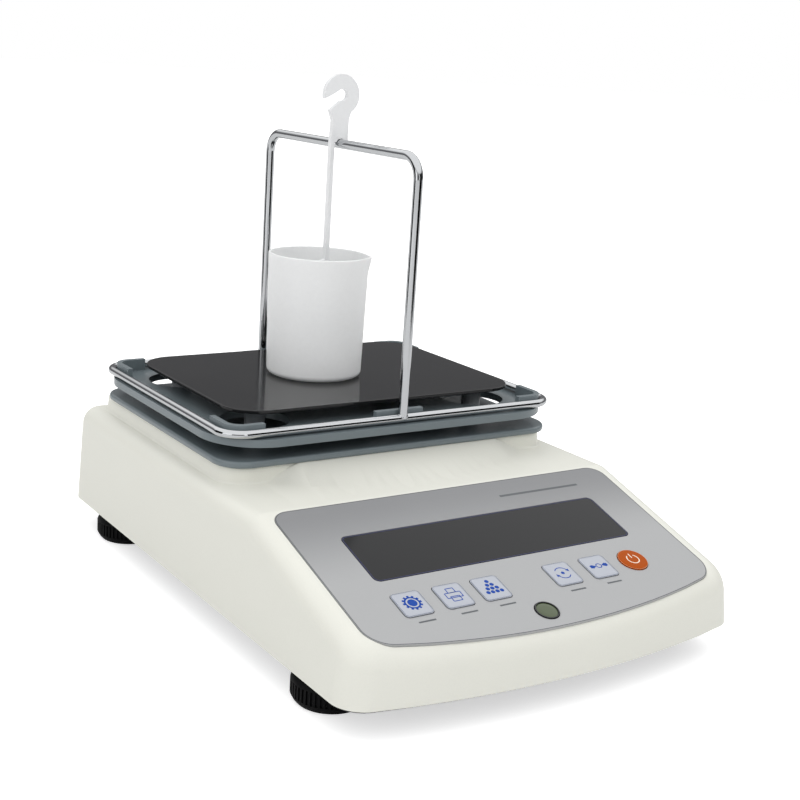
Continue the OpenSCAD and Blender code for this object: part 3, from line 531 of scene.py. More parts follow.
def board_material():
    """Green lacquer over copper tracks: a brick pattern gives the tracks, a noise the lacquer."""
    material, tree, bsdf, place = shader("board_green")
    node = effect(tree, MOULDED, place, bsdf, 0.1, 0.03, Cloud=0.2, Grain=1800.0, Gloss=0.28)
    tracks = tree.nodes.new("ShaderNodeTexBrick")
    tracks.inputs["Color1"].default_value = chip(24, 92, 52)
    tracks.inputs["Color2"].default_value = chip(20, 78, 46)
    tracks.inputs["Mortar"].default_value = chip(46, 128, 74)
    tracks.inputs["Scale"].default_value = 140
    tracks.inputs["Mortar Size"].default_value = 0.03
    tree.links.new(place, tracks.inputs["Vector"])
    tree.links.new(tracks.outputs["Color"], node.inputs["Colour"])
    return material


board_green = board_material()
print("special finishes made")

# %% [markdown]
# ## The housing
# The real cover is one moulding of pale plastic: a flat deck at the rear, a sloped console in front of
# it, a front face that bows out, and a low plinth under the trays. It could be lofted from outlines.
# Here it is shaped from one box, because every step is then a plain edit: cut columns into the box and
# push the front ones back to make the bow, cut a crease and lower what lies in front of it, and bevel
# the corners.

# %% Values of the housing
HALF_W = 107.0
FRONT_Y = -153.75
REAR_Y = 153.75
LOW_Z = 14.8
DECK_Z = 66.0
CREASE_Y = -48.85
PLINTH_H = 8.0
PLINTH_Y = -12.0
EDGE_R = 8.0
SLOPE = math.radians(16.7)
SIDE_LEAN = 3.0
FRONT_LEAN = 1.5
BOW_R = 450.0
STEP_Y = 144.75
STEP_Z = 53.0
WALL = 3.0
LEAN_Z = LOW_Z + 8
CONSOLE = move(0, CREASE_Y, DECK_Z) @ Matrix.Rotation(SLOPE, 4, "X")


def bow(x, radius):
    """How far a bowed edge lies behind its middle."""
    return radius - math.sqrt(radius * radius - x * x)


# %% The blank of the housing
def cut_across(axis, at):
    """In edit mode, cuts a loop of edges round the whole piece, square to an axis."""
    bpy.ops.mesh.select_all(action="SELECT")
    bpy.ops.mesh.bisect(plane_co=[at * MM * way for way in axis], plane_no=axis)


def stretch(x, y=1.0):
    """In edit mode, scales what is chosen about the origin."""
    bpy.ops.transform.resize(value=(x, y, 1), center_override=(0, 0, 0))


def push_columns(piece, reach, step, radius, edge_y, lower=lambda at: 0.0):
    """Cuts columns into a box and moves their front ends back to a bow, and down where it is asked."""
    half = max(v.co.x for v in piece.data.vertices) / MM
    columns = [-half, half]
    x = -reach
    with editing(piece):
        while x <= reach:
            cut_across((1, 0, 0), x)
            columns.append(x)
            x += step
        for x in columns:
            back = bow(x, radius)
            for top in (False, True):
                near = lambda v: abs(v.co.x / MM - x) < 0.01 and abs(v.co.y / MM - edge_y) < 0.01
                high = max(v.co.z for v in bmesh.from_edit_mesh(piece.data).verts if near(v))
                if choose(piece, "VERT", lambda v: near(v) and (abs(v.co.z - high) < 1e-7) == top):
                    down = lower(edge_y + back) if top else 0.0
                    bpy.ops.transform.translate(value=(0, back * MM, -down * MM))


def housing_blank(name, inset, edge):
    """The housing's form, drawn a wall's thickness inside itself where inset isn't 0."""
    low_z = LOW_Z - (1.0 if inset else 0.0)
    front = FRONT_Y + inset
    piece = block(name, (inset - HALF_W, front, low_z), (HALF_W - inset, REAR_Y - inset, DECK_Z - inset))
    crease = CREASE_Y + inset * math.tan(SLOPE / 2)
    with editing(piece):
        cut_across((0, 1, 0), crease)
    push_columns(piece, 80, 8, BOW_R - inset, front, lambda y: (crease - y) * math.tan(SLOPE))
    with editing(piece):
        choose(piece, "VERT", lambda v: v.co.z / MM > LEAN_Z)
        narrow = (HALF_W - SIDE_LEAN - inset) / (HALF_W - inset)
        stretch(narrow)
        choose(piece, "VERT", lambda v: v.co.z / MM > LEAN_Z and v.co.y / MM < -100)
        lean = (0, FRONT_LEAN * MM, FRONT_LEAN * math.tan(SLOPE) * MM)
        bpy.ops.transform.translate(value=lean)
    round_corners(piece, 11.5 - inset, lambda at: at.y < -100 and abs(at.x) > 95)
    round_corners(piece, 12 - inset, lambda at: at.y > 100)
    if edge:
        with editing(piece):
            choose(piece, "EDGE", top_rim)
            bpy.ops.mesh.bevel(offset=edge * MM, segments=8, affect="EDGES", clamp_overlap=False)
            choose(piece, "EDGE", lambda e: (middle(e).yz - Vector((CREASE_Y, DECK_Z))).length < 0.5)
            bpy.ops.mesh.bevel(offset=1.2 * MM, segments=2, affect="EDGES", clamp_overlap=False)
    return piece


def top_rim(edge):
    """Whether an edge lies between the deck or console and a wall."""
    if len(edge.link_faces) != 2:
        return False
    tilts = sorted(abs(face.normal.z) for face in edge.link_faces)
    return tilts[0] < 0.3 and tilts[1] > 0.8 and middle(edge).z > LEAN_Z


housing = housing_blank("housing_shell", 0.0, EDGE_R)
hollow = housing_blank("housing_hollow", WALL, 0.0)
print("housing blank:", len(housing.data.polygons), "faces")

# %% [markdown]
# The plinth rises from the deck with a small soft foot, as moulded parts do. A plate with round corners
# gets that profile by insetting its top face and lifting it a little, several times over: first out of
# the deck in a hollow curve, then steeply up, then over a round edge. In front of it a shallow ramp
# runs from a bowed foot on the deck up to the lower tray. The ramp is a box, cut into columns whose
# front ends are pushed back to the bow and down to the deck. Its sides become twisted that way, and a
# twisted face can spoil a union, so all its faces are split into triangles.


# %% The plinth and its ramp
def step_in(inset, rise):
    """In edit mode, insets the chosen faces and lifts what is left of them."""
    bpy.ops.mesh.inset(thickness=inset * MM)
    bpy.ops.transform.translate(value=(0, 0, rise * MM))


def plinth_blank(inset):
    """The plinth, or the hollow under it where inset isn't 0."""
    foot, draft, edge = 1.5, 0.6, 1.0
    half = 96.0 - inset
    front, back = PLINTH_Y - 0.7 + inset, STEP_Y + 1.5 - inset
    floor = DECK_Z - (0.05 if inset == 0 else 2 * inset)
    piece = block("plinth", (-half, front, floor - 3.0), (half, back, floor))
    round_corners(piece, 15 - inset, segments=16)
    with editing(piece):
        choose(piece, "FACE", lambda f: f.normal.z > 0.9)
        if inset:
            bpy.ops.transform.translate(value=(0, 0, (PLINTH_H + inset) * MM))
            return piece
        for k in range(1, 7):
            angle, before = math.radians(15 * k), math.radians(15 * (k - 1))
            along, up = math.sin(angle) - math.sin(before), math.cos(before) - math.cos(angle)
            step_in(foot * along, foot * up)
        step_in(draft, PLINTH_H + 0.05 - foot - edge)
        for k in range(1, 4):
            angle, before = math.radians(30 * k), math.radians(30 * (k - 1))
            along, up = math.cos(before) - math.cos(angle), math.sin(angle) - math.sin(before)
            step_in(edge * along, edge * up)
    return piece


def ramp_blank():
    """The ramp, as wide at its top as at its foot, with sides that run out to the deck."""
    foot_y, foot_half, side_half, foot_bow = -36.0, 58.0, 80.0, 151.0
    top = DECK_Z + PLINTH_H - 0.02
    piece = block("ramp", (-foot_half, foot_y, DECK_Z - 2), (foot_half, PLINTH_Y + 4, top))
    with editing(piece):
        cut_across((0, 1, 0), PLINTH_Y)
    reach, step = 51, 6
    push_columns(piece, reach, step, foot_bow, foot_y, lambda y: PLINTH_H + 0.05)
    with editing(piece):
        choose(piece, "VERT", lambda v: v.co.y / MM > PLINTH_Y - 0.5 and v.co.z / MM < DECK_Z)
        stretch(side_half / foot_half)
        bpy.ops.mesh.select_all(action="SELECT")
        bpy.ops.mesh.quads_convert_to_tris(quad_method="BEAUTY", ngon_method="BEAUTY")
    return piece


carve(housing, plinth_blank(0.0), "UNION")
carve(housing, ramp_blank(), "UNION")
carve(hollow, plinth_blank(WALL), "UNION")
for solid, wall in ((housing, 0.0), (hollow, WALL)):
    carve(solid, block("step", (-130, STEP_Y - wall, STEP_Z - wall), (130, 200, 120)))
carve(housing, hollow)
print("hollow housing with its plinth:", len(housing.data.polygons), "faces")


# %% [markdown]
# ## The console panel
# A thin plate lies in a shallow recess of the console and holds the window, the keys and the bubble
# level. Its front edge bows like the housing. The same blank, a little larger, cuts the recess, so
# plate and recess always agree.


# %% Panel blank and the cutters that go with it
PANEL_BACK = 1.3
PANEL_FRONT = 104.1
PANEL_HALF = 94.0
PANEL_BOW = 375.0
KEY_X = [-63.9, -43.1, -23.3, 16.3, 37.4]
KEY_S = 73.8
POWER_X = 58.2
POWER_R = 7.2
LEVEL = (-7.2, 93.4)
LEVEL_R = 5.5
WINDOW = (142.6, 32.2, 40.7)
KEY_W, KEY_L, KEY_CORNER = 14, 15, 2
PAN_Y = 62.5
COLUMN_R = 13


def panel_blank(name, grow, low, high):
    """The panel's outline, larger all round by grow, in the console's own frame."""
    half, front = PANEL_HALF + grow, -PANEL_FRONT - grow
    piece = block(name, (-half, front, low), (half, grow - PANEL_BACK, high))
    push_columns(piece, 72, 8, PANEL_BOW + grow, front)
    round_corners(piece, 10.2 + grow, lambda at: at.y < -50)
    round_corners(piece, 8 + grow, lambda at: at.y > -50, segments=8)
    return piece


def rounded_block(name, width, length, radius, low, high, x=0.0, s=0.0):
    """A box with round corners on the console, about x and s, the distance down the slope."""
    piece = block(name, (x - width / 2, -s - length / 2, low), (x + width / 2, length / 2 - s, high))
    round_corners(piece, radius, segments=8)
    return piece


def key_cutters(low, high, gap):
    """Holes for the keys, the power key and the bubble level."""
    size = (KEY_W + 2 * gap, KEY_L + 2 * gap, KEY_CORNER + gap)
    cutters = [rounded_block("hole", *size, low, high, x, KEY_S) for x in KEY_X]
    cutters.append(drum("hole", POWER_X, -KEY_S, low, high, POWER_R + gap))
    cutters.append(drum("hole", LEVEL[0], -LEVEL[1], max(low, -2.0), high, LEVEL_R + gap))
    return cutters


carve(housing, put(panel_blank("recess", 0.2, -0.9, 6.0), CONSOLE))
opening = rounded_block("opening", WINDOW[0] - 10, WINDOW[1] - 10, 1, -8, 8, 0, WINDOW[2])
carve(housing, put(opening, CONSOLE))
for cutter in key_cutters(-8.0, 6.0, 0.3):
    carve(housing, put(cutter, CONSOLE))
carve(housing, drum("column_hole", 0, PAN_Y, 60, 80, COLUMN_R))
carve(housing, block("rear_opening", (12, 140, 27), (78, 170, 45)))
soften(housing, 0.7, segments=3, angle=40)
dress(housing, cover_plastic, "housing", "top_cover")


# %% The panel plate
panel = panel_blank("console_panel", 0.0, -0.9, 0.3)
for cutter in key_cutters(-3.0, 3.0, 0.3):
    carve(panel, cutter)
carve(panel, rounded_block("window_hole", WINDOW[0] + 0.4, WINDOW[1] + 0.4, 3.2, -3, 3, 0, WINDOW[2]))
soften(panel, 0.12, segments=2, angle=50)
put(panel, CONSOLE)
dress(panel, panel_film, "housing", "front_panel")

# %% [markdown]
# A thin dark line runs round the panel's edge. It could be cut from the panel's blank with a smaller one.
# Here its top and bottom are inset together and opened, and the two openings are bridged, which leaves
# clean, even faces.

# %% Dark line round the panel
outline = panel_blank("panel_outline", -0.15, 0.28, 0.34)
with editing(outline):
    choose(outline, "FACE", lambda f: abs(f.normal.z) > 0.9)
    bpy.ops.mesh.inset(thickness=0.35 * MM)
    bpy.ops.mesh.delete(type="FACE")
    choose(outline, "EDGE", lambda e: e.is_boundary)
    bpy.ops.mesh.bridge_edge_loops()
put(outline, CONSOLE)
shade(outline)
# A thin dark grey line laid along the panel's edge.
dress(outline, panel_dark_grey, "housing")

# %% [markdown]
# ## The display window
# A smoked, glossy plate with a thin blue line printed round its edge, and the display behind it.

# %% Window
window = rounded_block("display_window_plate", WINDOW[0], WINDOW[1], 3, -0.9, 0.3, 0, WINDOW[2])
soften(window, 0.15, segments=2)
put(window, CONSOLE)
dress(window, window_film, "housing", "display_window")
width, length, window_s = WINDOW
window_line = rounded_block("window_outline", width - 0.4, length - 0.4, 2.8, 0.28, 0.33, 0, window_s)
carve(window_line, rounded_block("inside", width - 1.4, length - 1.4, 2.3, -1, 1, 0, window_s))
put(window_line, CONSOLE)
shade(window_line)
dress(window_line, window_print, "housing")

# %% [markdown]
# ## The square keys
# Each key is a small cushion: a raised square with sloped edges and a plain printed sign. A blue-grey line
# is painted round its edge: partly a printed outline, partly painted shade of the key's bevel. One key is
# shaped from a box, by bevelling its corners and insetting and lifting its top, and copied to the five
# places.


# %% Key caps
def key_cap():
    """A cap with two sloped steps on top, and a flange below that keeps it in the housing."""
    piece = rounded_block("key_cap", KEY_W, KEY_L, KEY_CORNER, -3.3, 0.7)
    with editing(piece):
        choose(piece, "FACE", lambda f: f.normal.z > 0.9)
        step_in(0.5, 0.2)
        step_in(0.7, 0.2)
        bpy.ops.mesh.inset(thickness=0.3 * MM)
        choose(piece, "FACE", lambda f: f.normal.z < -0.9)
        bpy.ops.mesh.extrude_region_move(TRANSFORM_OT_translate={"value": (0, 0, -0.0001 * MM)})
        stretch((KEY_W + 2) / KEY_W, (KEY_L + 2) / KEY_L)
        bpy.ops.mesh.extrude_region_move(TRANSFORM_OT_translate={"value": (0, 0, -1.2 * MM)})
    shade(piece, 50)
    return piece


# The line round the key's edge: partly a printed outline, partly painted shade of the bevel.
def key_line():
    piece = rounded_block("key_line", KEY_W - 0.4, KEY_L - 0.4, 1.9, 0.6, 0.84)
    carve(piece, rounded_block("inside", KEY_W - 0.85, KEY_L - 0.85, 1.7, -1, 2))
    return piece


# %% Signs on the keys
def bar(x0, y0, x1, y1, width):
    """A flat bar of print between two points."""
    length = math.hypot(x1 - x0, y1 - y0)
    piece = block("bar", (-length / 2, -width / 2, 0), (length / 2, width / 2, 0.05))
    turn = Matrix.Rotation(math.atan2(y1 - y0, x1 - x0), 4, "Z")
    return put(piece, move((x0 + x1) / 2, (y0 + y1) / 2, 0) @ turn)


def dot(x, y, radius, sides=24):
    return drum("dot", x, y, 0, 0.05, radius, sides=sides)


def ring(x, y, outer, inner):
    return carve(dot(x, y, outer, 40), drum("inside", x, y, -1, 1, inner, sides=40))


def curved_bar(radius, width, start, sweep):
    """A bar of print bent round the origin: one end face, spun about Z."""
    piece = block("arc", (radius - width / 2, -0.05, 0), (radius + width / 2, 0.05, 0.05))
    with editing(piece):
        choose(piece, "FACE", lambda f: f.normal.y > 0.9)
        steps = max(4, int(abs(sweep) / 10))
        bpy.ops.mesh.spin(steps=steps, angle=math.radians(-sweep), center=(0, 0, 0), axis=(0, 0, 1))
        bpy.ops.mesh.select_all(action="SELECT")
        bpy.ops.mesh.remove_doubles(threshold=1e-7)
        bpy.ops.mesh.normals_make_consistent(inside=False)
    return put(piece, Matrix.Rotation(math.radians(start), 4, "Z"))


def arrow(x, y, angle, size):
    """A flat arrowhead whose tip points along the angle."""
    piece = drum("arrow", 0, 0, 0, 0.05, size, sides=3)
    turn = Matrix.Rotation(math.radians(angle - 90), 4, "Z")
    return put(piece, move(x, y, 0) @ turn)


def gear_sign():
    parts = [ring(0, 0, 3.7, 2.9), dot(0, 0, 2.2, 40)]
    for k in range(12):
        angle = math.radians(30 * k)
        cos, sin = math.cos(angle), math.sin(angle)
        parts.append(bar(3.5 * cos, 3.5 * sin, 4.5 * cos, 4.5 * sin, 1.1))
    return parts


def paper_sign():
    parts = []
    for x0, y0, x1, y1 in ((-1.9, 1.4, 1.9, 4.2), (-3.9, -1.8, 3.9, 1.4), (-2.2, -4.0, 2.2, -1.0)):
        for ends in ((x0, y0, x1, y0), (x1, y0, x1, y1), (x1, y1, x0, y1), (x0, y1, x0, y0)):
            parts.append(bar(*ends, 0.42))
    return parts


def heap_sign():
    return [dot((2 * k - row) * 1.2, 3.9 - row * 2.3, 1.02, 20) for row in range(4) for k in range(row + 1)]


def cycle_sign():
    parts = [curved_bar(3.6, 0.45, 25, 120), curved_bar(3.6, 0.45, 205, 120)]
    return parts + [arrow(3.55, 1.2, -70, 1.1), arrow(-3.55, -1.2, 110, 1.1), dot(0, 0, 0.9)]


def centre_sign():
    parts = [ring(0, 0, 1.6, 1.15)]
    for side in (-1, 1):
        parts.append(bar(side * 4.9, 0, side * 3.6, 0, 1.9))
        parts.append(arrow(side * 3.1, 0, 90 + side * 90, 1.6))
    return parts


# %% The five keys
KEYS = ["menu_key", "record_key", "start_key", "mode_key", "zero_key"]
SIGNS = [gear_sign, paper_sign, heap_sign, cycle_sign, centre_sign]
cap = key_cap()
line = key_line()
for name, x, sign in zip(KEYS, KEY_X, SIGNS):
    here = CONSOLE @ move(x, -KEY_S, 0)
    body = name + "_cap"
    owner = frame["nodes"][name]["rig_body"]
    dress(put(twin(cap, body), here), key_film, owner, name)
    dress(put(twin(line, name + "_line"), here), key_rim, owner)
    marks = merge(sign(), name + "_sign")
    put(marks, here @ move(0, 0, 1.08))
    dress(marks, key_print, owner)
bpy.data.objects.remove(cap)
bpy.data.objects.remove(line)

# %% [markdown]
# Under the keys and above the window the panel carries short words on the real instrument. They aren't
# copied: plain printed bars of about their length stand in their places.

# %% Plain bars in place of words
BAR_X = {"menu_bar": -63.2, "record_bar": -42.0, "start_bar": -22.0, "mode_bar": 17.0, "zero_bar": 38.0}
for name, x in BAR_X.items():
    label = bar(-4.2, 0, 4.2, 0, 0.9)
    label.name = name
    put(label, CONSOLE @ move(x, -(KEY_S + 11.2), 0.29))
    dress(label, panel_dark_grey, "housing")
title = bar(-24, 0, 24, 0, 1.4)
title.name = "title_bar"
put(title, CONSOLE @ move(48, -13.5, 0.29))
dress(title, panel_dark_grey, "housing")

# %% [markdown]
# ## The power key
# An orange button, a little domed, with a pale ring painted round its top edge as a highlight, and the
# usual ring-and-bar sign.


# %% Power key
def power_button():
    piece = drum("power_button", 0, 0, -3.3, 0.75, POWER_R, sides=96)
    with editing(piece):
        choose(piece, "FACE", lambda f: f.normal.z > 0.9)
        for inset, rise in ((0.35, 0.2), (1.2, 0.1), (2.0, 0.05)):
            step_in(inset, rise)
    shade(piece, 50)
    return piece


POWER = CONSOLE @ move(POWER_X, -KEY_S, 0)
owner = frame["nodes"]["power_key"]["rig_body"]
button = dress(put(power_button(), POWER), power_film, owner, "power_key")
# A pale ring painted on the button's edge as a highlight.
rim = ring(0, 0, POWER_R - 0.05, POWER_R - 0.4)
put(rim, POWER @ move(0, 0, 0.78))
rim.name = "power_highlight_ring"
dress(rim, power_highlight_ring, owner)
symbol = merge([curved_bar(3.0, 0.5, 125, 290), bar(0, 0.8, 0, 3.9, 0.5)], "power_sign")
put(symbol, POWER @ move(0, 0, 1.07))
dress(symbol, power_print, owner)

# %% [markdown]
# ## The bubble level
# A shallow green vial with a domed cover glass, in a black ring. The bubble floats against the dome.

# %% Bubble level
LEVEL_AT = CONSOLE @ move(LEVEL[0], -LEVEL[1], 0)
vial = drum("level_glass", 0, 0, -2.0, 0.35, LEVEL_R - 0.7, sides=64)
with editing(vial):
    choose(vial, "FACE", lambda f: f.normal.z > 0.9)
    for inset, rise in ((0.4, 0.12), (1.1, 0.1), (1.5, 0.05)):
        step_in(inset, rise)
shade(vial, 60)
dress(put(vial, LEVEL_AT), level_green, "housing", "level_vial")
level_rim = drum("level_rim", 0, 0, -2.0, 0.8, LEVEL_R, sides=96)
carve(level_rim, drum("inside", 0, 0, -3, 2, LEVEL_R - 0.6, sides=96))
soften(level_rim, 0.15)
dress(put(level_rim, LEVEL_AT), ring_black, "housing", "level_ring")
bubble = ring(0, 0, 1.7, 1.56)
bubble.name = "level_mark"
dress(put(bubble, LEVEL_AT @ move(0, 0, 0.56)), ring_black, "housing")

# %% [markdown]
# ## The trays
# Both trays are grey moulded plates with round corners. The upper one has four round holes for the
# posts of the table, and upright clips that keep the wire ring in its place.

# %% Trays
def plate(name, width, length, radius, low, high, segments=16):
    """A flat plate with round corners about the middle of the trays."""
    piece = block(name, (-width / 2, PAN_Y - length / 2, low), (width / 2, PAN_Y + length / 2, high))
    round_corners(piece, radius, segments=segments)
    return piece


lower_tray = plate("lower_tray_plate", 193, 151, 15, 74.0, 77.4)
carve(lower_tray, drum("column_hole", 0, PAN_Y, 70, 80, COLUMN_R))
soften(lower_tray, 1.3, segments=5)
dress(lower_tray, tray_plastic, "housing", "lower_tray")

upper_tray = plate("upper_tray_plate", 195.6, 156, 29, 83.9, 87.6, 20)
for x in (-65, 65):
    for y in (-42, 42):
        carve(upper_tray, drum("hole", x, PAN_Y + y, 80, 90, 17))
clips = plate("clips", 185, 141.8, 8.8, 87.0, 93.8, 10)
carve(clips, plate("inside", 185 - 5.6, 141.8 - 5.6, 6.0, 80, 99, 10))
keep = [block("keep", (-13.75, PAN_Y - 90, 86), (13.75, PAN_Y + 90, 100))]
for x in (-92.5, 92.5):
    for y in (-70.9, 70.9):
        keep.append(block("keep", (x - 18, PAN_Y + y - 22, 86), (x + 18, PAN_Y + y + 22, 100)))
carve(clips, merge(keep, "keep"), "INTERSECT")
carve(upper_tray, clips, "UNION")
soften(upper_tray, 0.9, segments=4)
dress(upper_tray, tray_plastic, "pan", "weighing_tray")

# %% [markdown]
# ## The table
# The cup stands on a black glossy plate that rests on four posts, clear of the weighing parts.

# %% Table plate
table = plate("table_top", 167, 119.6, 18.5, 94.7, 96.5, 16)
soften(table, 0.35, segments=3)
dress(table, table_plastic, "housing", "table_plate")

# %% [markdown]
# ## The wire frame
# Chromed wire is a circle pushed along a path. Extruding a circle for the straight runs and spinning it
# for the bends copies what the wire bender does, and gives even faces, which a mirror finish needs.


# %% Wire runs
def wire_start(name, radius, at, turn):
    """The circle that is pushed along the wire's path."""
    circle = added(name, bpy.ops.mesh.primitive_circle_add, vertices=32, radius=radius * MM)
    return put(circle, move(*at) @ turn)


def run(way):
    """A straight run of the wire."""
    bpy.ops.mesh.extrude_region_move(TRANSFORM_OT_translate={"value": Vector(way) * MM})


def turn_wire(centre, axis, angle):
    """Spins the end of the wire; the operator turns clockwise about its axis, so the sign is changed."""
    bpy.ops.mesh.spin(steps=12, angle=math.radians(-angle), center=Vector(centre) * MM, axis=axis)


def close_runs():
    """Merges the circles where two runs meet, closes the wire's free ends, and turns the faces outwards."""
    bpy.ops.mesh.select_all(action="SELECT")
    bpy.ops.mesh.remove_doubles(threshold=1e-6)
    bpy.ops.mesh.fill_holes(sides=32)
    bpy.ops.mesh.normals_make_consistent(inside=False)


RING_Z = 90.0
RING_X, RING_Y, RING_R = 95.0, 73.4, 11.6
FRONT_WIRE = (0, PAN_Y - RING_Y, RING_Z)
wire_ring = wire_start("wire_ring", 2.1, FRONT_WIRE, Matrix.Rotation(math.radians(90), 4, "Y"))
with editing(wire_ring):
    bpy.ops.mesh.select_all(action="SELECT")
    sx, sy = RING_X - RING_R, RING_Y - RING_R
    run((sx, 0, 0))
    corners = ((sx, -sy), (sx, sy), (-sx, sy), (-sx, -sy))
    ways = ((0, 2 * sy, 0), (-2 * sx, 0, 0), (0, -2 * sy, 0), (sx, 0, 0))
    for (x, y), way in zip(corners, ways):
        turn_wire((x, PAN_Y + y, RING_Z), (0, 0, 1), 90)
        run(way)
    close_runs()
shade(wire_ring, 60)
dress(wire_ring, chrome, "frame", "frame_ring")

BAR_Z, ARCH_R = 216.6, 11.0
wire_arch = wire_start("wire_arch", 2.4, FRONT_WIRE, Matrix.Identity(4))
with editing(wire_arch):
    bpy.ops.mesh.select_all(action="SELECT")
    rise = BAR_Z - ARCH_R - RING_Z
    run((0, 0, rise))
    turn_wire((0, PAN_Y - RING_Y + ARCH_R, BAR_Z - ARCH_R), (1, 0, 0), -90)
    run((0, 2 * (RING_Y - ARCH_R), 0))
    turn_wire((0, PAN_Y + RING_Y - ARCH_R, BAR_Z - ARCH_R), (1, 0, 0), -90)
    run((0, 0, -rise))
    close_runs()
shade(wire_arch, 60)
dress(wire_arch, chrome, "frame", "frame_arch")


# %% Weld beads
def bead(y):
    """A flattened ball of weld where the arch meets the ring."""
    ball = added("weld", bpy.ops.mesh.primitive_uv_sphere_add, segments=24, ring_count=12, radius=1)
    size = Matrix.Diagonal((3.4 * MM, 2.35 * MM, 2.3 * MM, 1))
    return put(ball, move(0, PAN_Y + y, RING_Z + 0.6) @ size)


welds = merge([bead(-RING_Y), bead(RING_Y)], "weld_beads")
shade(welds, 60)
dress(welds, chrome, "frame")

# %% [markdown]
# ## The cup
# A thin white beaker with a small spout. It starts as a cone with its top open; the bottom edge is
# bevelled, rings are cut near the rim, and the rim is drawn outwards at the spout with proportional
# editing. A Solidify modifier then gives it its wall.

# %% Cup
CUP_X, CUP_Y, CUP_Z, CUP_H = -7.6, 64.3, 96.5, 63.6
cup = drum("cup_body", 0, 0, 0, CUP_H, 24.9, 26.2, sides=128)
with editing(cup):
    choose(cup, "FACE", lambda f: f.normal.z > 0.9)
    bpy.ops.mesh.delete(type="ONLY_FACE")
    choose(cup, "EDGE", lambda e: middle(e).z < 0.01)
    bpy.ops.mesh.bevel(offset=3 * MM, segments=6, affect="EDGES", clamp_overlap=False)
    for z in (30, 42, 46, 50, 53, 56, 58.5, 61):
        cut_across((0, 0, 1), z)
    choose(cup, "VERT", lambda v: abs(v.co.z / MM - CUP_H) < 0.01 and v.co.x / MM > 26.19)
    bpy.ops.transform.translate(
        value=(1.4 * MM, 0, 0),
        use_proportional_edit=True,
        proportional_edit_falloff="SMOOTH",
        proportional_size=10 * MM,
    )
only(cup)
wall = cup.modifiers.new("wall", "SOLIDIFY")
wall.thickness = 1.4 * MM
wall.offset = -1
wall.use_even_offset = True
bpy.ops.object.modifier_apply(modifier="wall")
soften(cup, 0.5, segments=3, angle=50, smooth=50)
spout_turn = Matrix.Rotation(math.radians(-35), 4, "Z")
put(cup, move(CUP_X, CUP_Y, CUP_Z) @ spout_turn)
dress(cup, cup_plastic, "cup", "cup")


# %% [markdown]
# ## The hanger
# A flat moulding with a hook for a head. Its outline is already right in the CAD model, so a copy of
# that node is merged into a clean solid and only its edges are rounded.


# %% Hanger
def cad_copy(node, name):
    """A copy of a CAD node with its loose triangles merged into flat faces."""
    piece = twin(frame["nodes"][node], name)
    piece.parent = None
    piece.data.materials.clear()
    for key in list(piece.keys()):
        del piece[key]
    with editing(piece):
        bpy.ops.mesh.select_all(action="SELECT")
        bpy.ops.mesh.remove_doubles(threshold=1e-6)
        bpy.ops.mesh.customdata_custom_splitnormals_clear()
        bpy.ops.mesh.dissolve_limited(angle_limit=math.radians(1))
    return piece


hanger = cad_copy("hanger", "hanger_hook")
soften(hanger, 0.45, segments=3, angle=50)
dress(hanger, hanger_plastic, "hanger", "hanger")

# %% [markdown]
# ## The feet
# Each foot is a black knob with a knurled band, so that fingers can turn it. The band's faces are inset
# one by one, and every other one is pushed in.


# %% Knobs
def foot_knob():
    blank_r = 17
    piece = drum("foot_knob", 0, 0, 0, 13.2, blank_r, sides=96)
    with editing(piece):
        for z in (1.4, 3.4, 9.6, 11.4):
            cut_across((0, 0, 1), z)
        for z, radius in ((0, 14.6), (1.4, 15.9), (11.4, 16.2), (13.2, 14)):
            choose(piece, "VERT", lambda v: abs(v.co.z / MM - z) < 0.05)
            stretch(radius / blank_r, radius / blank_r)
        choose(piece, "FACE", lambda f: abs(middle(f).z - 6.5) < 0.2 and band_number(f) % 2 == 0)
        bpy.ops.mesh.inset(thickness=0.2 * MM, depth=-0.75 * MM, use_individual=True)
    shade(piece, 35)
    return piece


def band_number(face):
    """Number of a side face, counted round the knob."""
    at = middle(face)
    return int(round(math.degrees(math.atan2(at.y, at.x)) * 96 / 360 - 0.5))


knob = foot_knob()
for side, end, x, y in (
    ("left", "front", -89, -100.5),
    ("right", "front", 89, -100.5),
    ("left", "rear", -89, 114.5),
    ("right", "rear", 89, 114.5),
):
    node = f"{end}_{side}_knob"
    piece = put(twin(knob, node + "_grip"), move(x, y, 0))
    dress(piece, knob_rubber, frame["nodes"][node]["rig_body"], node)
bpy.data.objects.remove(knob)

# %% [markdown]
# ## CAD nodes that keep their shape
# The parts inside and behind are already the right shape. They keep their CAD meshes and get a finish
# each: green lacquered boards, milled aluminium for the load cell, zinc for screws and glass for the
# sinker.

# %% Finishes of the carried-over nodes
FINISHES = (
    (base_plastic, ["base_plate"]),
    (zinc, [
        "cover_screws", "serial_port", "load_cell_screws", "overload_stop", "bracket_screws",
        "lower_tray_screws", "front_left_stud", "front_right_stud", "rear_left_stud", "rear_right_stud",
    ]),
    (milled_aluminium, ["rear_plate", "load_cell", "load_cell_block", "pan_bracket", "pan_support"]),
    (socket_black, ["power_socket"]),
    (lcd_green, ["display_module"]),
    (board_green, ["display_board", "keypad_board", "main_board"]),
    (chip_black, ["key_switches", "board_parts"]),
    (brass, ["board_standoffs", "foot_nuts"]),
    (pad_rubber, ["pan_pads"]),
    (post_plastic, ["table_posts"]),
    (drawn_steel, ["sinker_loop"]),
    (glass, ["sinker"]),
)
for material, nodes in FINISHES:
    for node in nodes:
        slots = frame["nodes"][node].data.materials
        slots.clear()
        slots.append(material)
    print(material.name, "on", len(nodes), "CAD nodes")

# %% [markdown]
# The serial port in the rear wall has a black insert with nine pins in two rows, and a six-sided jack
# screw on either side. The pins are short rods laid along the depth of the instrument.

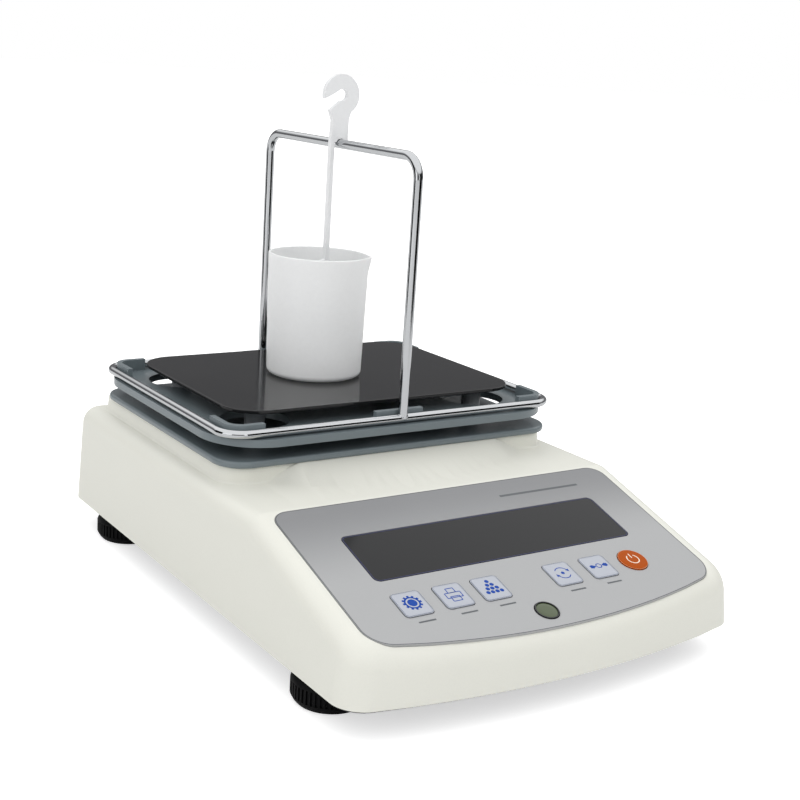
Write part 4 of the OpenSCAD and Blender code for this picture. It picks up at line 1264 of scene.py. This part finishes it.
# %% Inside of the serial port
PORT_X, PORT_Z, PORT_FACE_Y, PLATE_FACE_Y = 33.0, 36.0, 151.2, 150.75


def rod(name, x, z, y0, length, radius, sides):
    """A rod that points to the rear."""
    piece = drum(name, 0, 0, 0, length, radius, sides=sides)
    lie = Matrix.Rotation(math.radians(-90), 4, "X")
    return put(piece, move(x, y0, z) @ lie)


low, high = (PORT_X - 7.3, 149.3, PORT_Z - 3.3), (PORT_X + 7.3, PORT_FACE_Y, PORT_Z + 3.3)
insert = block("port_insert", low, high)
soften(insert, 0.3, segments=2)
dress(insert, chip_black, "housing")
pins = []
for rise, count in ((1.4, 5), (-1.4, 4)):
    for k in range(count):
        x = PORT_X + 2.7 * (k - (count - 1) / 2)
        pins.append(rod("pin", x, PORT_Z + rise, PORT_FACE_Y - 0.1, 1.5, 0.5, 16))
pins = merge(pins, "port_pins")
soften(pins, 0.15, segments=2)
dress(pins, brass, "housing")
for side, name in ((-1, "left_jack"), (1, "right_jack")):
    jack = rod(name, PORT_X + side * 12.5, PORT_Z, PLATE_FACE_Y - 0.1, 2.6, 2.4, 6)
    soften(jack, 0.3, segments=2)
    dress(jack, zinc, "housing")

# %% [markdown]
# ## Floor and light
# The photograph shows the instrument on pure white. A white floor under an even, bright sky gives that
# look. Mirror-like wire and the black table need something dark to reflect as well: for them the sky is
# dark near the horizon, and two black cards stand beside the camera, as a photographer sets them up for
# chrome. Only reflections see the cards. The floor also glows a little, for the camera alone, so it
# comes out white and throws no more light up at the walls.

# %% Floor
floor_material, floor_tree, floor_bsdf, floor_place = shader("studio_floor", Specular_IOR_Level=0.0)
floor_look = {"Colour": (0.86, 0.86, 0.86, 1), "Cloud": 0.005, "Gloss": 0.9}
effect(floor_tree, MOULDED, floor_place, floor_bsdf, 0.0, 0.0, **floor_look)
floor_path = floor_tree.nodes.new("ShaderNodeLightPath")
glow = math_node(floor_tree, "MULTIPLY", floor_path.outputs["Is Camera Ray"], 0.55)
floor_tree.links.new(glow, floor_bsdf.inputs["Emission Strength"])
floor = added("studio_floor", bpy.ops.mesh.primitive_plane_add, size=24)
floor.data.materials.append(floor_material)

# %% Black cards
card_material, card_tree, card_bsdf, card_place = shader("card_black", Specular_IOR_Level=0.0)
effect(card_tree, MOULDED, card_place, card_bsdf, 0.0, 0.0, Colour=chip(16, 16, 16), Cloud=0.1, Gloss=0.9)


def card(name, bearing, distance, width, height):
    """An upright black card, at a bearing to the right of the camera as seen from the wire frame."""
    piece = added(name, bpy.ops.mesh.primitive_plane_add, size=1)
    angle = math.radians(-124 + bearing)
    at = Vector((distance * math.cos(angle), 0.06 + distance * math.sin(angle), height / 2))
    turn = Matrix.Rotation(angle + math.radians(90), 4, "Z") @ Matrix.Rotation(math.radians(90), 4, "X")
    put(piece, Matrix.Translation(at) @ turn @ Matrix.Diagonal((width, height, 1, 1)))
    piece.data.materials.append(card_material)
    piece.visible_camera = False
    piece.visible_diffuse = False
    piece.visible_shadow = False


card("right_card", 62, 0.75, 0.8, 0.5)
card("left_card", -75, 0.75, 0.5, 0.5)


# %% Surround
def surround():
    world = bpy.data.worlds.new("studio")
    bpy.context.scene.world = world
    world.use_nodes = True
    tree = world.node_tree
    tree.nodes.clear()
    out = tree.nodes.new("ShaderNodeOutputWorld")
    seen = tree.nodes.new("ShaderNodeBackground")
    lit = tree.nodes.new("ShaderNodeBackground")
    mix = tree.nodes.new("ShaderNodeMixShader")
    path = tree.nodes.new("ShaderNodeLightPath")
    place = tree.nodes.new("ShaderNodeTexCoord")
    split = tree.nodes.new("ShaderNodeSeparateXYZ")
    ramp = tree.nodes.new("ShaderNodeValToRGB")
    stops = ramp.color_ramp.elements
    stops[0].position = 0.3
    stops[0].color = (0.15, 0.15, 0.155, 1)
    stops[1].position = 0.5
    stops[1].color = (1.0, 1.0, 1.0, 1)
    tree.links.new(place.outputs["Generated"], split.inputs[0])
    tree.links.new(split.outputs["Z"], ramp.inputs["Fac"])
    tree.links.new(ramp.outputs["Color"], lit.inputs["Color"])
    seen.inputs["Color"].default_value = (1, 1, 1, 1)
    lit.inputs["Strength"].default_value = 1.3
    tree.links.new(path.outputs["Is Camera Ray"], mix.inputs["Fac"])
    tree.links.new(lit.outputs["Background"], mix.inputs[1])
    tree.links.new(seen.outputs["Background"], mix.inputs[2])
    tree.links.new(mix.outputs["Shader"], out.inputs["Surface"])


def softbox(name, at, aim, size, power):
    """A rectangular lamp that looks from one point at another, in metres."""
    lamp = added(name, bpy.ops.object.light_add, type="AREA", location=at)
    lamp.data.shape = "RECTANGLE"
    lamp.data.size, lamp.data.size_y = size
    lamp.data.energy = power
    lamp.rotation_euler = (Vector(aim) - Vector(at)).to_track_quat("-Z", "Y").to_euler()


surround()
softbox("left_light", (-1.5, -0.4, 0.45), (0, 0, 0.08), (1.0, 0.6), 2.5)
softbox("front_light", (0.1, -1.7, 0.5), (0, 0, 0.08), (0.8, 0.6), 2)
bpy.context.scene.view_settings.view_transform = "Standard"
bpy.context.scene.view_settings.look = "None"
